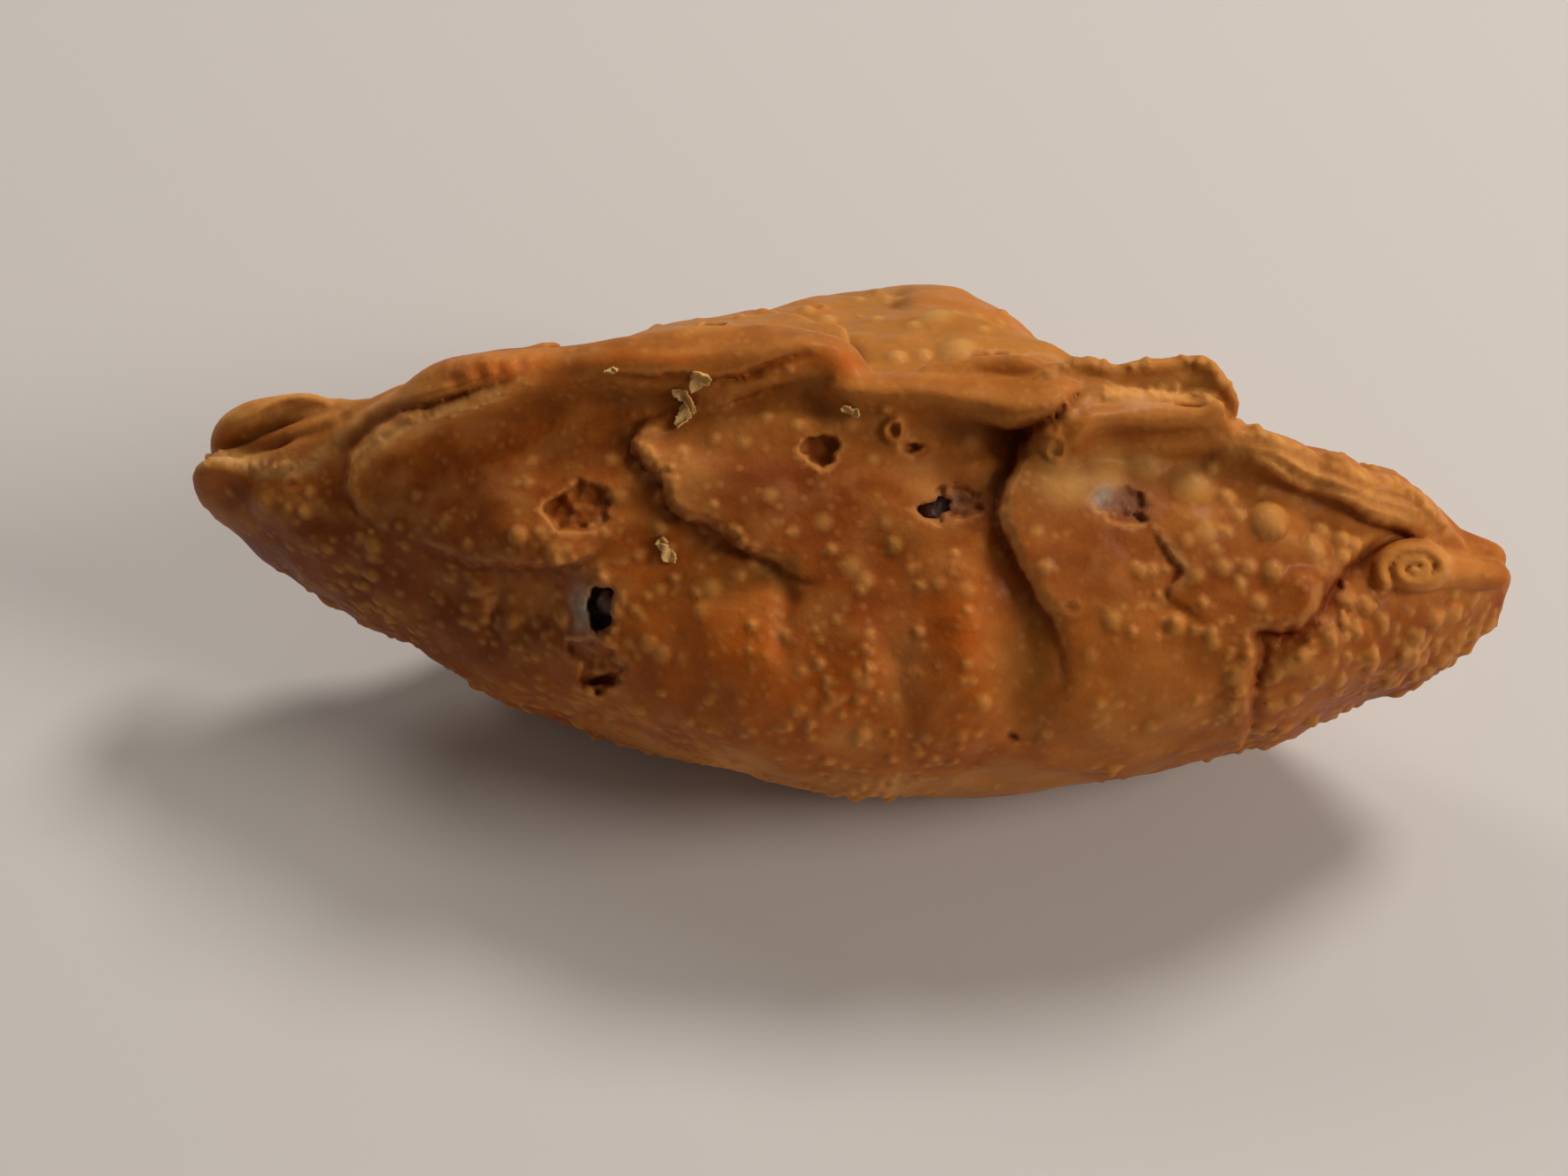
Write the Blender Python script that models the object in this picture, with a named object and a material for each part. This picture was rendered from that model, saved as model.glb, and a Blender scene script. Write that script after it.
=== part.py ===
# Fried empanada: a half-moon dough pocket that stands on its rounded fold, seam up.
# Units below are millimetres; MM turns them to metres. X runs from tip to tip,
# -Y is the front flank, +Z is up, and the origin is on the floor under the middle.
import math

import bmesh
import bpy
from mathutils import Vector

MM = 0.001

# The pocket
HALF_LENGTH = 63.0
FRONT_BELLY = 24.0       # how far the front flank stands out from the seam's plane
BACK_BELLY = 28.5
BACK_CREST = 6.0         # the back flank is fullest here and hollow towards the tips
SEAM_HEIGHT = 42.5       # top of the pocket under the rope, at the middle
TIP_TOP = 26.0           # the same at the tips
TIP_KEEL = 21.0          # height of the fold at the tips, lifted off the floor
KEEL_FLAT = 14.0         # half the length over which the fold stays level
SEAM_SET_BACK = 2.5      # the seam leans this far towards the back
BASE_CUT = 0.9           # the fold is flattened by this much where it rests
CREST_ROUND = 8.0        # how blunt the flanks are at their fullest point
LEFT_FULLNESS = 1.0      # how long the front flank stays full towards each tip
RIGHT_FULLNESS = 1.45
FRONT_TAPER = 0.85       # below 1 the flank ends round, above 1 it ends hollow
BACK_TAPER = 1.7
KEEL_CURVE = 1.7         # how late the fold lifts off the floor
ARCH_SHOULDER = 2.6      # how square the seam's arch is
ARCH_TAPER = 0.75
PINCH = 0.3              # how much the section narrows towards the seam
TIP_HALF = 1.0           # half the thickness left at the tips

# Dough and what it holds
DOUGH = 2.6
SEAM_DOUGH = 6.5         # the flanks are pressed together for this far below the rope
END_DOUGH = 16.0         # and for this far in from each tip
END_CLOSING = 0.7        # how far the hollow's ends close over
GAP = 0.35               # between the dough and what it holds

# How finely the round forms are cut
STATIONS = 44
RING = 32
HOLLOW_STATIONS = 24
HOLLOW_RING = 20
SMOOTH_UNDER = math.radians(38.0)

# Looking down at the front flank from this height, folds are drawn as (x, up) pairs
LOOK_DOWN = math.radians(55.0)


def clear_scene():
    for item in list(bpy.data.objects):
        bpy.data.objects.remove(item)


def dough_material(name, colour, roughness):
    material = bpy.data.materials.new(name)
    material.use_nodes = True
    shader = material.node_tree.nodes["Principled BSDF"]
    shader.inputs["Base Color"].default_value = (*colour, 1.0)
    shader.inputs["Roughness"].default_value = roughness
    shader.inputs["Metallic"].default_value = 0.0
    material.diffuse_color = (*colour, 1.0)
    return material


def crest_fade(x, crest, run):
    """0 at the crest and 1 at the tip, rounded over so that the crest isn't sharp."""
    blunt = math.hypot(x - crest, CREST_ROUND) - CREST_ROUND
    return min(blunt / (math.hypot(run, CREST_ROUND) - CREST_ROUND), 1.0)


def front_belly(x):
    fullness = LEFT_FULLNESS if x < 0.0 else RIGHT_FULLNESS
    fade = crest_fade(x, 0.0, HALF_LENGTH)
    return TIP_HALF + (FRONT_BELLY - TIP_HALF) * (1.0 - fade ** fullness) ** FRONT_TAPER


def back_belly(x):
    run = HALF_LENGTH - math.copysign(BACK_CREST, x - BACK_CREST)
    fade = crest_fade(x, BACK_CREST, run)
    return TIP_HALF + (BACK_BELLY - TIP_HALF) * (1.0 - fade) ** BACK_TAPER


def keel_height(x):
    past = max(abs(x) - KEEL_FLAT, 0.0) / (HALF_LENGTH - KEEL_FLAT)
    return TIP_KEEL * past ** KEEL_CURVE - BASE_CUT


def top_height(x):
    along = min(abs(x) / HALF_LENGTH, 1.0)
    return TIP_TOP + (SEAM_HEIGHT - TIP_TOP) * (1.0 - along ** ARCH_SHOULDER) ** ARCH_TAPER


def flank_point(x, angle, inset=0.0, seam_inset=0.0):
    """Angle runs from -pi/2 at the fold through 0 at the front to pi/2 at the seam,
    and on to 3/2 pi back at the fold behind."""
    half = (front_belly(x) if math.cos(angle) >= 0.0 else back_belly(x)) - inset
    top = top_height(x) - seam_inset
    bottom = keel_height(x) + inset
    rise = math.sin(angle)
    narrow = 1.0 + PINCH * max(rise, 0.0)
    across = math.copysign(abs(math.cos(angle)) ** narrow, math.cos(angle))
    lean = SEAM_SET_BACK * (1.0 + rise) / 2.0
    middle = (top + bottom) / 2.0
    return Vector((x, lean - half * across, middle + (top - bottom) / 2.0 * rise))


def flank_normal(x, angle):
    step = 0.05
    along = flank_point(x + 0.5, angle) - flank_point(x - 0.5, angle)
    round_about = flank_point(x, angle + step) - flank_point(x, angle - step)
    return along.cross(round_about).normalized()


def drop_on_flank(x, up, behind=False):
    """The angle of the flank's point that lies under the view-plane height up."""
    low = math.radians(-60.0)
    high = math.radians(89.0)
    for _ in range(30):
        mid = (low + high) / 2.0
        point = flank_point(x, math.pi - mid if behind else mid)
        depth = SEAM_SET_BACK - point.y if behind else point.y
        if point.z * math.cos(LOOK_DOWN) + depth * math.sin(LOOK_DOWN) < up:
            low = mid
        else:
            high = mid
    return math.pi - low if behind else low


def new_object(name, shape):
    mesh = bpy.data.meshes.new(name)
    bmesh.ops.recalc_face_normals(shape, faces=shape.faces)
    shape.to_mesh(mesh)
    shape.free()
    mesh.shade_smooth()
    mesh.set_sharp_from_angle(angle=SMOOTH_UNDER)
    thing = bpy.data.objects.new(name, mesh)
    bpy.context.collection.objects.link(thing)
    return thing


def close_rings(rings):
    """Join closed rings of points into a tube and cap both ends."""
    shape = bmesh.new()
    rows = [[shape.verts.new(point * MM) for point in ring] for ring in rings]
    for row, following in zip(rows, rows[1:]):
        for i in range(len(row)):
            j = (i + 1) % len(row)
            shape.faces.new((row[i], row[j], following[j], following[i]))
    shape.faces.new(rows[0])
    shape.faces.new(reversed(rows[-1]))
    return shape


def pocket(name, inset, seam_inset, end_inset, gap, stations, ring):
    """A loft of the flanks' section from tip to tip, drawn in by a gap all round. One
    with an end inset closes over roundly before it reaches the tips."""
    reach = HALF_LENGTH - end_inset
    closing = END_CLOSING if end_inset else 0.0
    rings = []
    for i in range(stations + 1):
        x = reach * math.sin(math.pi / 2.0 * (2.0 * i / stations - 1.0))
        shrink = 1.0 - closing * (abs(x) / reach) ** 6
        heart = flank_point(x, 0.0, inset, seam_inset)
        heart.y = SEAM_SET_BACK / 2.0
        points = []
        for k in range(ring):
            angle = 2.0 * math.pi * k / ring - math.pi / 2.0
            spoke = (flank_point(x, angle, inset, seam_inset) - heart) * shrink
            points.append(heart + spoke * (1.0 - gap / spoke.length)
                          - Vector((x / reach * gap, 0.0, 0.0)))
        rings.append(points)
    return new_object(name, close_rings(rings))


def flatten_base(thing):
    """Cut the fold level at the floor, so the part rests on a true flat."""
    shape = bmesh.new()
    shape.from_mesh(thing.data)
    everything = shape.verts[:] + shape.edges[:] + shape.faces[:]
    bmesh.ops.bisect_plane(shape, geom=everything, plane_co=(0.0, 0.0, 0.0),
                           plane_no=(0.0, 0.0, 1.0), clear_inner=True)
    rim = [edge for edge in shape.edges if edge.is_boundary]
    bmesh.ops.contextual_create(shape, geom=rim)
    bmesh.ops.recalc_face_normals(shape, faces=shape.faces)
    shape.to_mesh(thing.data)
    shape.free()


def smooth_loop(points, count):
    """A closed Catmull-Rom curve through the points, sampled evenly."""
    total = len(points)
    line = []
    for i in range(count):
        place = i * total / count
        k = int(place)
        t = place - k
        a, b, c, d = (points[(k + j) % total] for j in (-1, 0, 1, 2))
        line.append(0.5 * (2 * b + (c - a) * t + (2 * a - 5 * b + 4 * c - d) * t ** 2
                           + (3 * b - a - 3 * c + d) * t ** 3))
    return line


def pleat(name, outline, crown, behind=False, count=26, bands=4):
    """A lobe of dough folded over the flank. The outline holds (x, up, step): where the
    lobe ends and how high its edge stands there. The lobe rises to crown in its middle
    and is rooted in the dough under it."""
    root = -1.3
    edge = smooth_loop([Vector(spot) for spot in outline], count)
    heart = sum(edge, Vector()) / count
    shape = bmesh.new()

    def lay(spot, lift):
        angle = drop_on_flank(spot.x, spot.y, behind)
        return (flank_point(spot.x, angle) + flank_normal(spot.x, angle) * lift) * MM

    rows = [[shape.verts.new(lay(spot, root)) for spot in edge],
            [shape.verts.new(lay(spot, 0.55 * spot.z - 0.1)) for spot in edge]]
    for band in range(1, bands):
        inward = (band / bands) ** 1.6
        rows.append([shape.verts.new(lay(spot.lerp(heart, inward),
                                         spot.z + (crown - spot.z) * inward ** 0.7))
                     for spot in edge])
    for row, following in zip(rows, rows[1:]):
        for i in range(count):
            j = (i + 1) % count
            shape.faces.new((row[i], row[j], following[j], following[i]))
    for row, lift in ((rows[0], root), (rows[-1], crown)):
        middle = shape.verts.new(lay(heart, lift))
        for i in range(count):
            shape.faces.new((row[i], row[(i + 1) % count], middle))
    return new_object(name, shape)


def strand(name, start, end, radii, sway=0.0, bow=0.0, flat=1.0, samples=14, sides=8):
    """One fold of the rope along the seam, from start to end as (x, y, z above the
    pocket's top), swelling from the first radius to the second and back."""
    path = []
    for i in range(samples + 1):
        t = i / samples
        x, y, rise = (a + (b - a) * t for a, b in zip(start, end))
        swing = math.sin(math.pi * t)
        path.append(Vector((x, SEAM_SET_BACK + y + sway * swing,
                            top_height(x) + rise + bow * swing)))
    rings = []
    for i, spot in enumerate(path):
        along = (path[min(i + 1, samples)] - path[max(i - 1, 0)]).normalized()
        across = along.cross(Vector((0.0, 0.0, 1.0))).normalized()
        upward = across.cross(along)
        radius = radii[0] + (radii[1] - radii[0]) * math.sin(math.pi * i / samples) ** 0.6
        rings.append([spot + across * (radius * math.cos(2.0 * math.pi * k / sides))
                      + upward * (radius * flat * math.sin(2.0 * math.pi * k / sides))
                      for k in range(sides)])
    return new_object(name, close_rings(rings))


def burst(name, x, up, wide, tall, depth=7.0, sides=10):
    """A cutter for a blister that burst: a ragged plug through the dough."""
    angle = drop_on_flank(x, up)
    centre = flank_point(x, angle)
    normal = flank_normal(x, angle)
    across = Vector((1.0, 0.0, 0.0)) - normal * normal.x
    across.normalize()
    upward = normal.cross(across)
    if upward.z < 0.0:
        upward.negate()
    rings = []
    for lift in (-depth, depth):
        ring = []
        for i in range(sides):
            turn = 2.0 * math.pi * i / sides
            ragged = 1.0 + 0.16 * math.sin(3.0 * turn + x) + 0.1 * math.sin(5.0 * turn + up)
            out = across * (wide / 2.0 * math.cos(turn)) + upward * (tall / 2.0 * math.sin(turn))
            ring.append(centre + normal * lift + out * ragged)
        rings.append(ring)
    return new_object(name, close_rings(rings))


def combine(target, tools, operation):
    """One Boolean step with a whole group of tools, which stay as hidden guides."""
    group = bpy.data.collections.new(f"{operation.lower()} tools")
    bpy.context.scene.collection.children.link(group)
    for tool in tools:
        bpy.context.collection.objects.unlink(tool)
        group.objects.link(tool)
        tool.hide_render = True
        tool.display_type = "WIRE"
    step = target.modifiers.new(operation.lower(), "BOOLEAN")
    step.operation = operation
    step.solver = "EXACT"
    step.operand_type = "COLLECTION"
    step.collection = group


# Where the folds of dough lie on the front flank, each with its (x, up, edge step)
# and the height of its crown
FRONT_PLEATS = {
    "left_pleat": (((-46.0, 23.5, 1.0), (-49.5, 20.0, 2.2), (-46.0, 16.0, 2.2),
                    (-38.0, 13.0, 2.4), (-28.0, 12.0, 2.2), (-20.0, 15.0, 0.6),
                    (-19.0, 24.0, 0.6), (-33.0, 27.0, 0.6)), 1.4),
    "middle_pleat": (((-21.5, 25.5, 2.2), (-20.5, 21.5, 3.0), (-18.0, 17.5, 3.0),
                      (-12.0, 14.0, 2.6), (-4.0, 11.5, 1.4), (6.0, 10.5, 0.4),
                      (16.0, 14.0, 0.6), (18.0, 22.0, 0.6), (8.0, 27.5, 1.4),
                      (-8.0, 28.0, 1.4)), 2.2),
    "right_pleat": (((21.0, 28.0, 2.2), (15.0, 23.0, 3.6), (14.0, 17.5, 3.8),
                     (17.5, 10.0, 2.6), (22.0, 3.0, 0.8), (31.0, -0.5, 0.4),
                     (38.0, 3.0, 1.8), (44.5, 9.0, 2.6), (49.0, 14.5, 2.2),
                     (43.0, 21.0, 0.8), (33.0, 25.5, 1.4)), 2.6),
    "left_end": (((-61.0, 18.5, 1.2), (-57.0, 13.0, 0.5), (-50.0, 11.0, 0.4),
                  (-47.0, 17.0, 0.6), (-50.0, 22.5, 1.6), (-55.0, 21.5, 1.6)), 1.4),
    "right_end": (((37.5, 5.0, 0.4), (38.0, -1.5, 0.8), (44.0, -3.5, 1.4),
                   (52.0, 0.5, 1.6), (57.0, 5.0, 1.2), (57.0, 12.0, 0.8),
                   (50.0, 12.0, 0.4)), 2.4),
}

# The same behind, drawn as seen from there
BACK_PLEATS = {
    "back_left": (((-45.0, 22.0, 1.0), (-43.0, 16.0, 1.8), (-34.0, 12.0, 2.2),
                   (-24.0, 10.5, 2.0), (-15.0, 13.0, 0.6), (-14.0, 23.0, 0.6),
                   (-30.0, 25.0, 0.8)), 1.4),
    "back_middle": (((-19.0, 24.0, 1.8), (-17.0, 17.0, 2.4), (-10.0, 12.0, 2.2),
                     (0.0, 9.0, 1.4), (12.0, 11.0, 0.4), (17.0, 17.0, 0.5),
                     (14.0, 25.0, 0.8), (-3.0, 27.0, 1.0)), 2.0),
    "back_right": (((13.0, 25.0, 1.6), (10.0, 18.0, 2.4), (16.0, 10.0, 2.2),
                    (26.0, 8.0, 0.8), (38.0, 12.0, 0.6), (44.0, 18.0, 0.8),
                    (30.0, 25.0, 0.8)), 1.8),
}

# The rope's folds: start, end, radii, sway, bow, flatness
STRANDS = {
    "seam_ridge": ((-61.0, 0.0, -1.0), (61.0, -0.2, -2.2), (1.4, 3.1), 0.0, 1.0, 1.0),
    "left_curl": ((-61.5, 1.5, -0.2), (-49.0, 1.0, 0.0), (1.6, 2.3), 1.0, 0.6, 1.1),
    "left_lip": ((-63.0, -1.0, -1.4), (-44.0, -0.5, 0.4), (1.1, 1.8), -2.2, -1.0, 1.1),
    "left_rope_low": ((-47.5, -4.5, -2.6), (-27.0, -0.5, 1.2), (1.2, 2.0), -1.6, 0.2, 1.1),
    "left_rope_top": ((-46.5, 0.0, -0.8), (-18.0, 0.5, 2.0), (1.2, 2.2), 0.2, 0.2, 1.1),
    "middle_rope_top": ((-33.0, 0.0, 0.8), (1.0, 0.0, 2.0), (1.3, 2.5), 0.2, 1.2, 1.1),
    "middle_rope_low": ((-27.0, -3.4, -1.4), (-4.0, -1.8, 0.8), (1.2, 2.2), -0.6, 0.2, 1.0),
    "hem": ((-9.0, -1.2, 0.2), (21.0, -3.4, -1.4), (1.3, 2.4), -0.6, 0.6, 1.1),
    "back_rope": ((5.0, 1.2, 1.6), (30.0, 1.6, 2.0), (1.3, 2.0), 0.6, 0.4, 1.0),
    "flap_low": ((20.0, -3.0, -0.8), (36.0, -2.0, 0.8), (1.3, 2.2), -1.0, 0.2, 1.0),
    "flap_top": ((17.0, 0.5, 2.0), (36.0, 1.5, 5.2), (1.6, 2.4), 0.4, 0.6, 1.2),
    "right_rope_low": ((34.0, -2.4, -1.4), (61.0, -1.0, -2.0), (1.2, 1.8), -1.0, 0.2, 1.0),
    "rolled_end": ((50.5, -2.6, -4.6), (62.5, -1.4, -3.6), (1.6, 2.5), 0.0, 0.0, 1.0),
    "right_rope_top": ((33.0, 0.2, -0.2), (62.0, 0.2, -1.4), (1.3, 2.0), 0.2, 0.2, 1.0),
}

# Blisters that burst and let the filling show: x, up, width, height
BURSTS = {
    "burst_low": (-25.0, 7.5, 3.2, 6.0),
    "burst_middle": (9.5, 18.0, 4.5, 3.4),
    "burst_right": (26.5, 18.0, 5.0, 3.6),
}


def build_crust():
    crust = pocket("crust", 0.0, 0.0, 0.0, 0.0, STATIONS, RING)
    flatten_base(crust)
    folds = [pleat(name, *shape) for name, shape in FRONT_PLEATS.items()]
    folds += [pleat(name, *shape, behind=True) for name, shape in BACK_PLEATS.items()]
    folds += [strand(name, *shape) for name, shape in STRANDS.items()]
    combine(crust, folds, "UNION")
    cuts = [pocket("hollow", DOUGH, SEAM_DOUGH, END_DOUGH, 0.0, HOLLOW_STATIONS, HOLLOW_RING)]
    cuts += [burst(name, *shape) for name, shape in BURSTS.items()]
    combine(crust, cuts, "DIFFERENCE")
    crust.data.materials.append(dough_material("fried_dough", (0.42, 0.17, 0.05), 0.45))


def build_filling():
    filling = pocket("filling", DOUGH, SEAM_DOUGH, END_DOUGH, GAP, HOLLOW_STATIONS, HOLLOW_RING)
    filling.data.materials.append(dough_material("filling", (0.16, 0.10, 0.07), 0.6))


clear_scene()
build_crust()
build_filling()
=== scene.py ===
import math

import bmesh
import bpy
import numpy as np
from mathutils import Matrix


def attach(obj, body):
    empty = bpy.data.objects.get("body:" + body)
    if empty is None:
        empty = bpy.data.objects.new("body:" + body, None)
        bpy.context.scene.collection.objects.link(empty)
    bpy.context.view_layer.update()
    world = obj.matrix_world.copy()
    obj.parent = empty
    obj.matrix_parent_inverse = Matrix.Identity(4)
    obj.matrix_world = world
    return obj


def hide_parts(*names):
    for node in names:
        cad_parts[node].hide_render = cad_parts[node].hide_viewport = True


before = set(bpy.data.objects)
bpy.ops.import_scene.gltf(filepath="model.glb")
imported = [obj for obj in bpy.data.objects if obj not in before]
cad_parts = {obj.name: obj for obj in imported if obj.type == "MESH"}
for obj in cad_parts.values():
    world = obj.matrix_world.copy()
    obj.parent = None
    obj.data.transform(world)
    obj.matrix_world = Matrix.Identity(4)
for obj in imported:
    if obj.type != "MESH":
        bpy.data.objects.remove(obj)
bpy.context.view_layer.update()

import openvdb as vdb
from mathutils import Vector

mm = 0.001
bodyName = "root"


def unit(value):
    return np.clip(value, 0.0, 1.0)


def bell(value):
    return np.exp(-value ** 2)


def placed(name, data):
    piece = bpy.data.objects.new(name, data)
    bpy.context.scene.collection.objects.link(piece)
    return piece


# Turned so that a lamp or a camera looks along a direction
def looking(direction):
    return Vector(direction).to_track_quat("-Z", "Y").to_euler()


# The shot that folds, tears and bubbles are drawn in: degrees, mm and its own pixels
shot = {
    "azimuth": 5.4,
    "elevation": 55.0,
    "distance": 330.0,
    "lens": 74.2,
    "sensor": 36.0,
    "frame": (1770, 1328),
    "originAt": (953.5, 779.6),     # where the origin shows
    "pxSize": 0.085,                # what one pixel covers on the dough
    "turnAbout": 1.25,              # y of the upright line that the back is turned about
}


def shotAxes():
    turn = math.radians(shot["azimuth"])
    lift = math.radians(shot["elevation"])
    back = np.array([math.sin(turn) * math.cos(lift), -math.cos(turn) * math.cos(lift), math.sin(lift)])
    right = np.array([math.cos(turn), math.sin(turn), 0.0])
    return right, np.cross(back, right), back


shotRight, shotUp, shotBack = shotAxes()
focalPx = shot["lens"] / shot["sensor"] * shot["frame"][0]
centrePx = (shot["frame"][0] / 2.0, shot["frame"][1] / 2.0)
pxSize = shot["pxSize"]
eye = (shotBack
       - shotRight * (shot["originAt"][0] - centrePx[0]) / focalPx
       + shotUp * (shot["originAt"][1] - centrePx[1]) / focalPx) * shot["distance"]


# The same points for somebody who stands behind
def turned(points):
    return np.stack([-points[..., 0], 2.0 * shot["turnAbout"] - points[..., 1], points[..., 2]], -1)


# Pixels of the shot for points in mm
def toShot(points):
    away = points - eye
    depth = -(away @ shotBack)
    return (centrePx[0] + focalPx * (away @ shotRight) / depth,
            centrePx[1] - focalPx * (away @ shotUp) / depth)


# Unit directions from the eye through pixels
def shotRay(x, y):
    across = (np.asarray(x, float) - centrePx[0]) / focalPx
    up = (centrePx[1] - np.asarray(y, float)) / focalPx
    ray = across[..., None] * shotRight + up[..., None] * shotUp - shotBack
    return ray / np.linalg.norm(ray, axis=-1, keepdims=True)


# The plain pocket, with the sizes of the CAD pocket in mm
pocket = {
    "halfLength": 63.0,
    "frontBelly": 24.0,
    "backBelly": 28.5,
    "backCrest": 6.0,
    "crestRound": 8.0,
    "leftFullness": 1.0,
    "rightFullness": 1.45,
    "frontTaper": 0.85,
    "backTaper": 1.7,
    "seamHeight": 42.5,
    "tipTop": 26.0,
    "archShoulder": 2.6,
    "archTaper": 0.75,
    "tipKeel": 21.0,
    "keelFlat": 14.0,
    "keelCurve": 1.7,
    "baseCut": 0.9,
    "seamSetBack": 2.5,
    "pinch": 0.3,
    "tipHalf": 1.0,
    "dough": 2.6,
    "seamDough": 6.5,
    "endDough": 16.0,
    "fillingGap": 0.4,
}
seamY = pocket["seamSetBack"]


def seamTop(x):
    p = pocket
    along = unit(np.abs(x) / p["halfLength"])
    arch = (1.0 - along ** p["archShoulder"]) ** p["archTaper"]
    return p["tipTop"] + (p["seamHeight"] - p["tipTop"]) * arch


def foldHeight(x):
    p = pocket
    past = np.maximum(np.abs(x) - p["keelFlat"], 0.0) / (p["halfLength"] - p["keelFlat"])
    return p["tipKeel"] * past ** p["keelCurve"] - p["baseCut"]


def bellyReach(x, behind):
    p = pocket
    crest = np.where(behind, p["backCrest"], 0.0)
    run = p["halfLength"] - np.sign(x - crest) * crest
    blunt = np.hypot(x - crest, p["crestRound"]) - p["crestRound"]
    fade = np.minimum(blunt / (np.hypot(run, p["crestRound"]) - p["crestRound"]), 1.0)
    fullness = np.where(x < 0.0, p["leftFullness"], p["rightFullness"])
    front = p["tipHalf"] + (p["frontBelly"] - p["tipHalf"]) * (1.0 - fade ** fullness) ** p["frontTaper"]
    back = p["tipHalf"] + (p["backBelly"] - p["tipHalf"]) * (1.0 - fade) ** p["backTaper"]
    return np.where(behind, back, front)


# Angle -90 is the fold, 0 the front, 90 the seam and 180 the back
def flankPoints(x, angle):
    p = pocket
    half = bellyReach(x, np.cos(angle) < 0.0)
    rise = np.sin(angle)
    across = np.sign(np.cos(angle)) * np.abs(np.cos(angle)) ** (1.0 + p["pinch"] * np.maximum(rise, 0.0))
    top = seamTop(x)
    bottom = foldHeight(x)
    lean = p["seamSetBack"] * (1.0 + rise) / 2.0
    return np.stack([x + 0.0 * rise, lean - half * across, (top + bottom + (top - bottom) * rise) / 2.0], -1)


# The dough is shaped as a field of distances to its skin, in mm, below zero inside
voxel = 0.3
gridLow = np.array([-67.0, -28.0, -2.5])
gridHigh = np.array([67.0, 33.0, 52.0])
gridStart = np.floor(gridLow / voxel).astype(int)
gridShape = np.ceil((gridHigh - gridLow) / voxel).astype(int)
gridAxes = [((gridStart[k] + np.arange(gridShape[k])) * voxel).astype(np.float32) for k in range(3)]
bandMm = 5.4


def pocketField():
    stations, ring = 220, 140
    x = pocket["halfLength"] * np.sin(np.pi / 2.0 * np.linspace(-1.0, 1.0, stations))
    angle = 2.0 * np.pi * np.arange(ring) / ring - np.pi / 2.0
    points = flankPoints(*np.meshgrid(x, angle, indexing="ij")).reshape(-1, 3)
    i, j = np.meshgrid(np.arange(stations - 1), np.arange(ring), indexing="ij")
    follow = (j + 1) % ring
    quads = np.stack([i * ring + j, i * ring + follow, (i + 1) * ring + follow, (i + 1) * ring + j], -1)
    points = np.vstack([points, points[:ring].mean(0), points[-ring:].mean(0)])
    k = np.arange(ring)
    last = (stations - 1) * ring
    caps = np.vstack([np.stack([np.full(ring, len(points) - 2), (k + 1) % ring, k], -1),
                      np.stack([np.full(ring, len(points) - 1), last + k, last + (k + 1) % ring], -1)])
    field = vdb.FloatGrid.createLevelSetFromPolygons(
        points.astype(np.float32), triangles=caps.astype(np.int32),
        quads=quads.reshape(-1, 4).astype(np.int32),
        transform=vdb.createLinearTransform(voxel), halfWidth=bandMm / voxel)
    values = np.empty(gridShape, np.float32)
    field.copyToArray(values, ijk=tuple(int(n) for n in gridStart))
    return values


# Trilinear reading of a field at points in mm
def readField(field, points):
    place = np.clip(points / voxel - gridStart, 0.0, gridShape - 1.001)
    low = place.astype(int)
    part = place - low
    value = np.zeros(len(points), np.float32)
    for corner in range(8):
        bit = np.array([corner & 1, corner >> 1 & 1, corner >> 2 & 1])
        i, j, k = (low + bit).T
        value += np.prod(np.where(bit, part, 1.0 - part), axis=1) * field[i, j, k]
    return value


# Unit direction out of the dough
def outward(field, points, step=0.6):
    slope = np.stack([readField(field, points + step * axis) - readField(field, points - step * axis)
                      for axis in np.eye(3)], -1)
    return slope / np.maximum(np.linalg.norm(slope, axis=1, keepdims=True), 1e-9)


# Where rays through pixels meet the upright plane at lean mm behind the middle of the seam
def onUpright(x, y, lean):
    ray = shotRay(x, y)
    return eye + ray * ((seamY + lean - eye[1]) / ray[:, 1])[:, None]


# Where rays through pixels meet the dough, or else the upright plane of the seam
def placeInShot(field, x, y):
    ray = shotRay(x, y)
    toPlane = (seamY - eye[1]) / ray[:, 1]
    travel = np.full(len(ray), shot["distance"] - 90.0)     # starts before the dough
    for _ in range(100):
        travel += 0.9 * np.maximum(readField(field, eye + ray * travel[:, None]), 0.0)
    met = readField(field, eye + ray * travel[:, None]) < 0.3
    return eye + ray * np.where(met, travel, toPlane)[:, None]


# Waves of about one length in seeded directions, about -1 to 1
def unevenness(points, wavelength, seed, waves=9):
    dice = np.random.default_rng(seed)
    total = np.zeros(len(points), np.float32)
    for _ in range(waves):
        way = dice.normal(size=3)
        way *= 2.0 * np.pi / (wavelength * dice.uniform(0.75, 1.5)) / np.linalg.norm(way)
        total += np.cos(points @ way.astype(np.float32) + dice.uniform(0.0, 6.28))
    return total / math.sqrt(waves * 1.3)


# A curve through given points of any width
def smoothLine(points, perSpan=8):
    p = np.array(points, float)
    p = np.vstack([2.0 * p[0] - p[1], p, 2.0 * p[-1] - p[-2]])
    t = (np.arange(perSpan) / perSpan)[:, None]
    line = [0.5 * (2 * b + (c - a) * t + (2 * a - 5 * b + 4 * c - d) * t ** 2
                   + (3 * b - a - 3 * c + d) * t ** 3)
            for a, b, c, d in zip(p, p[1:], p[2:], p[3:])]
    return np.vstack(line + [p[-2]])


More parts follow.
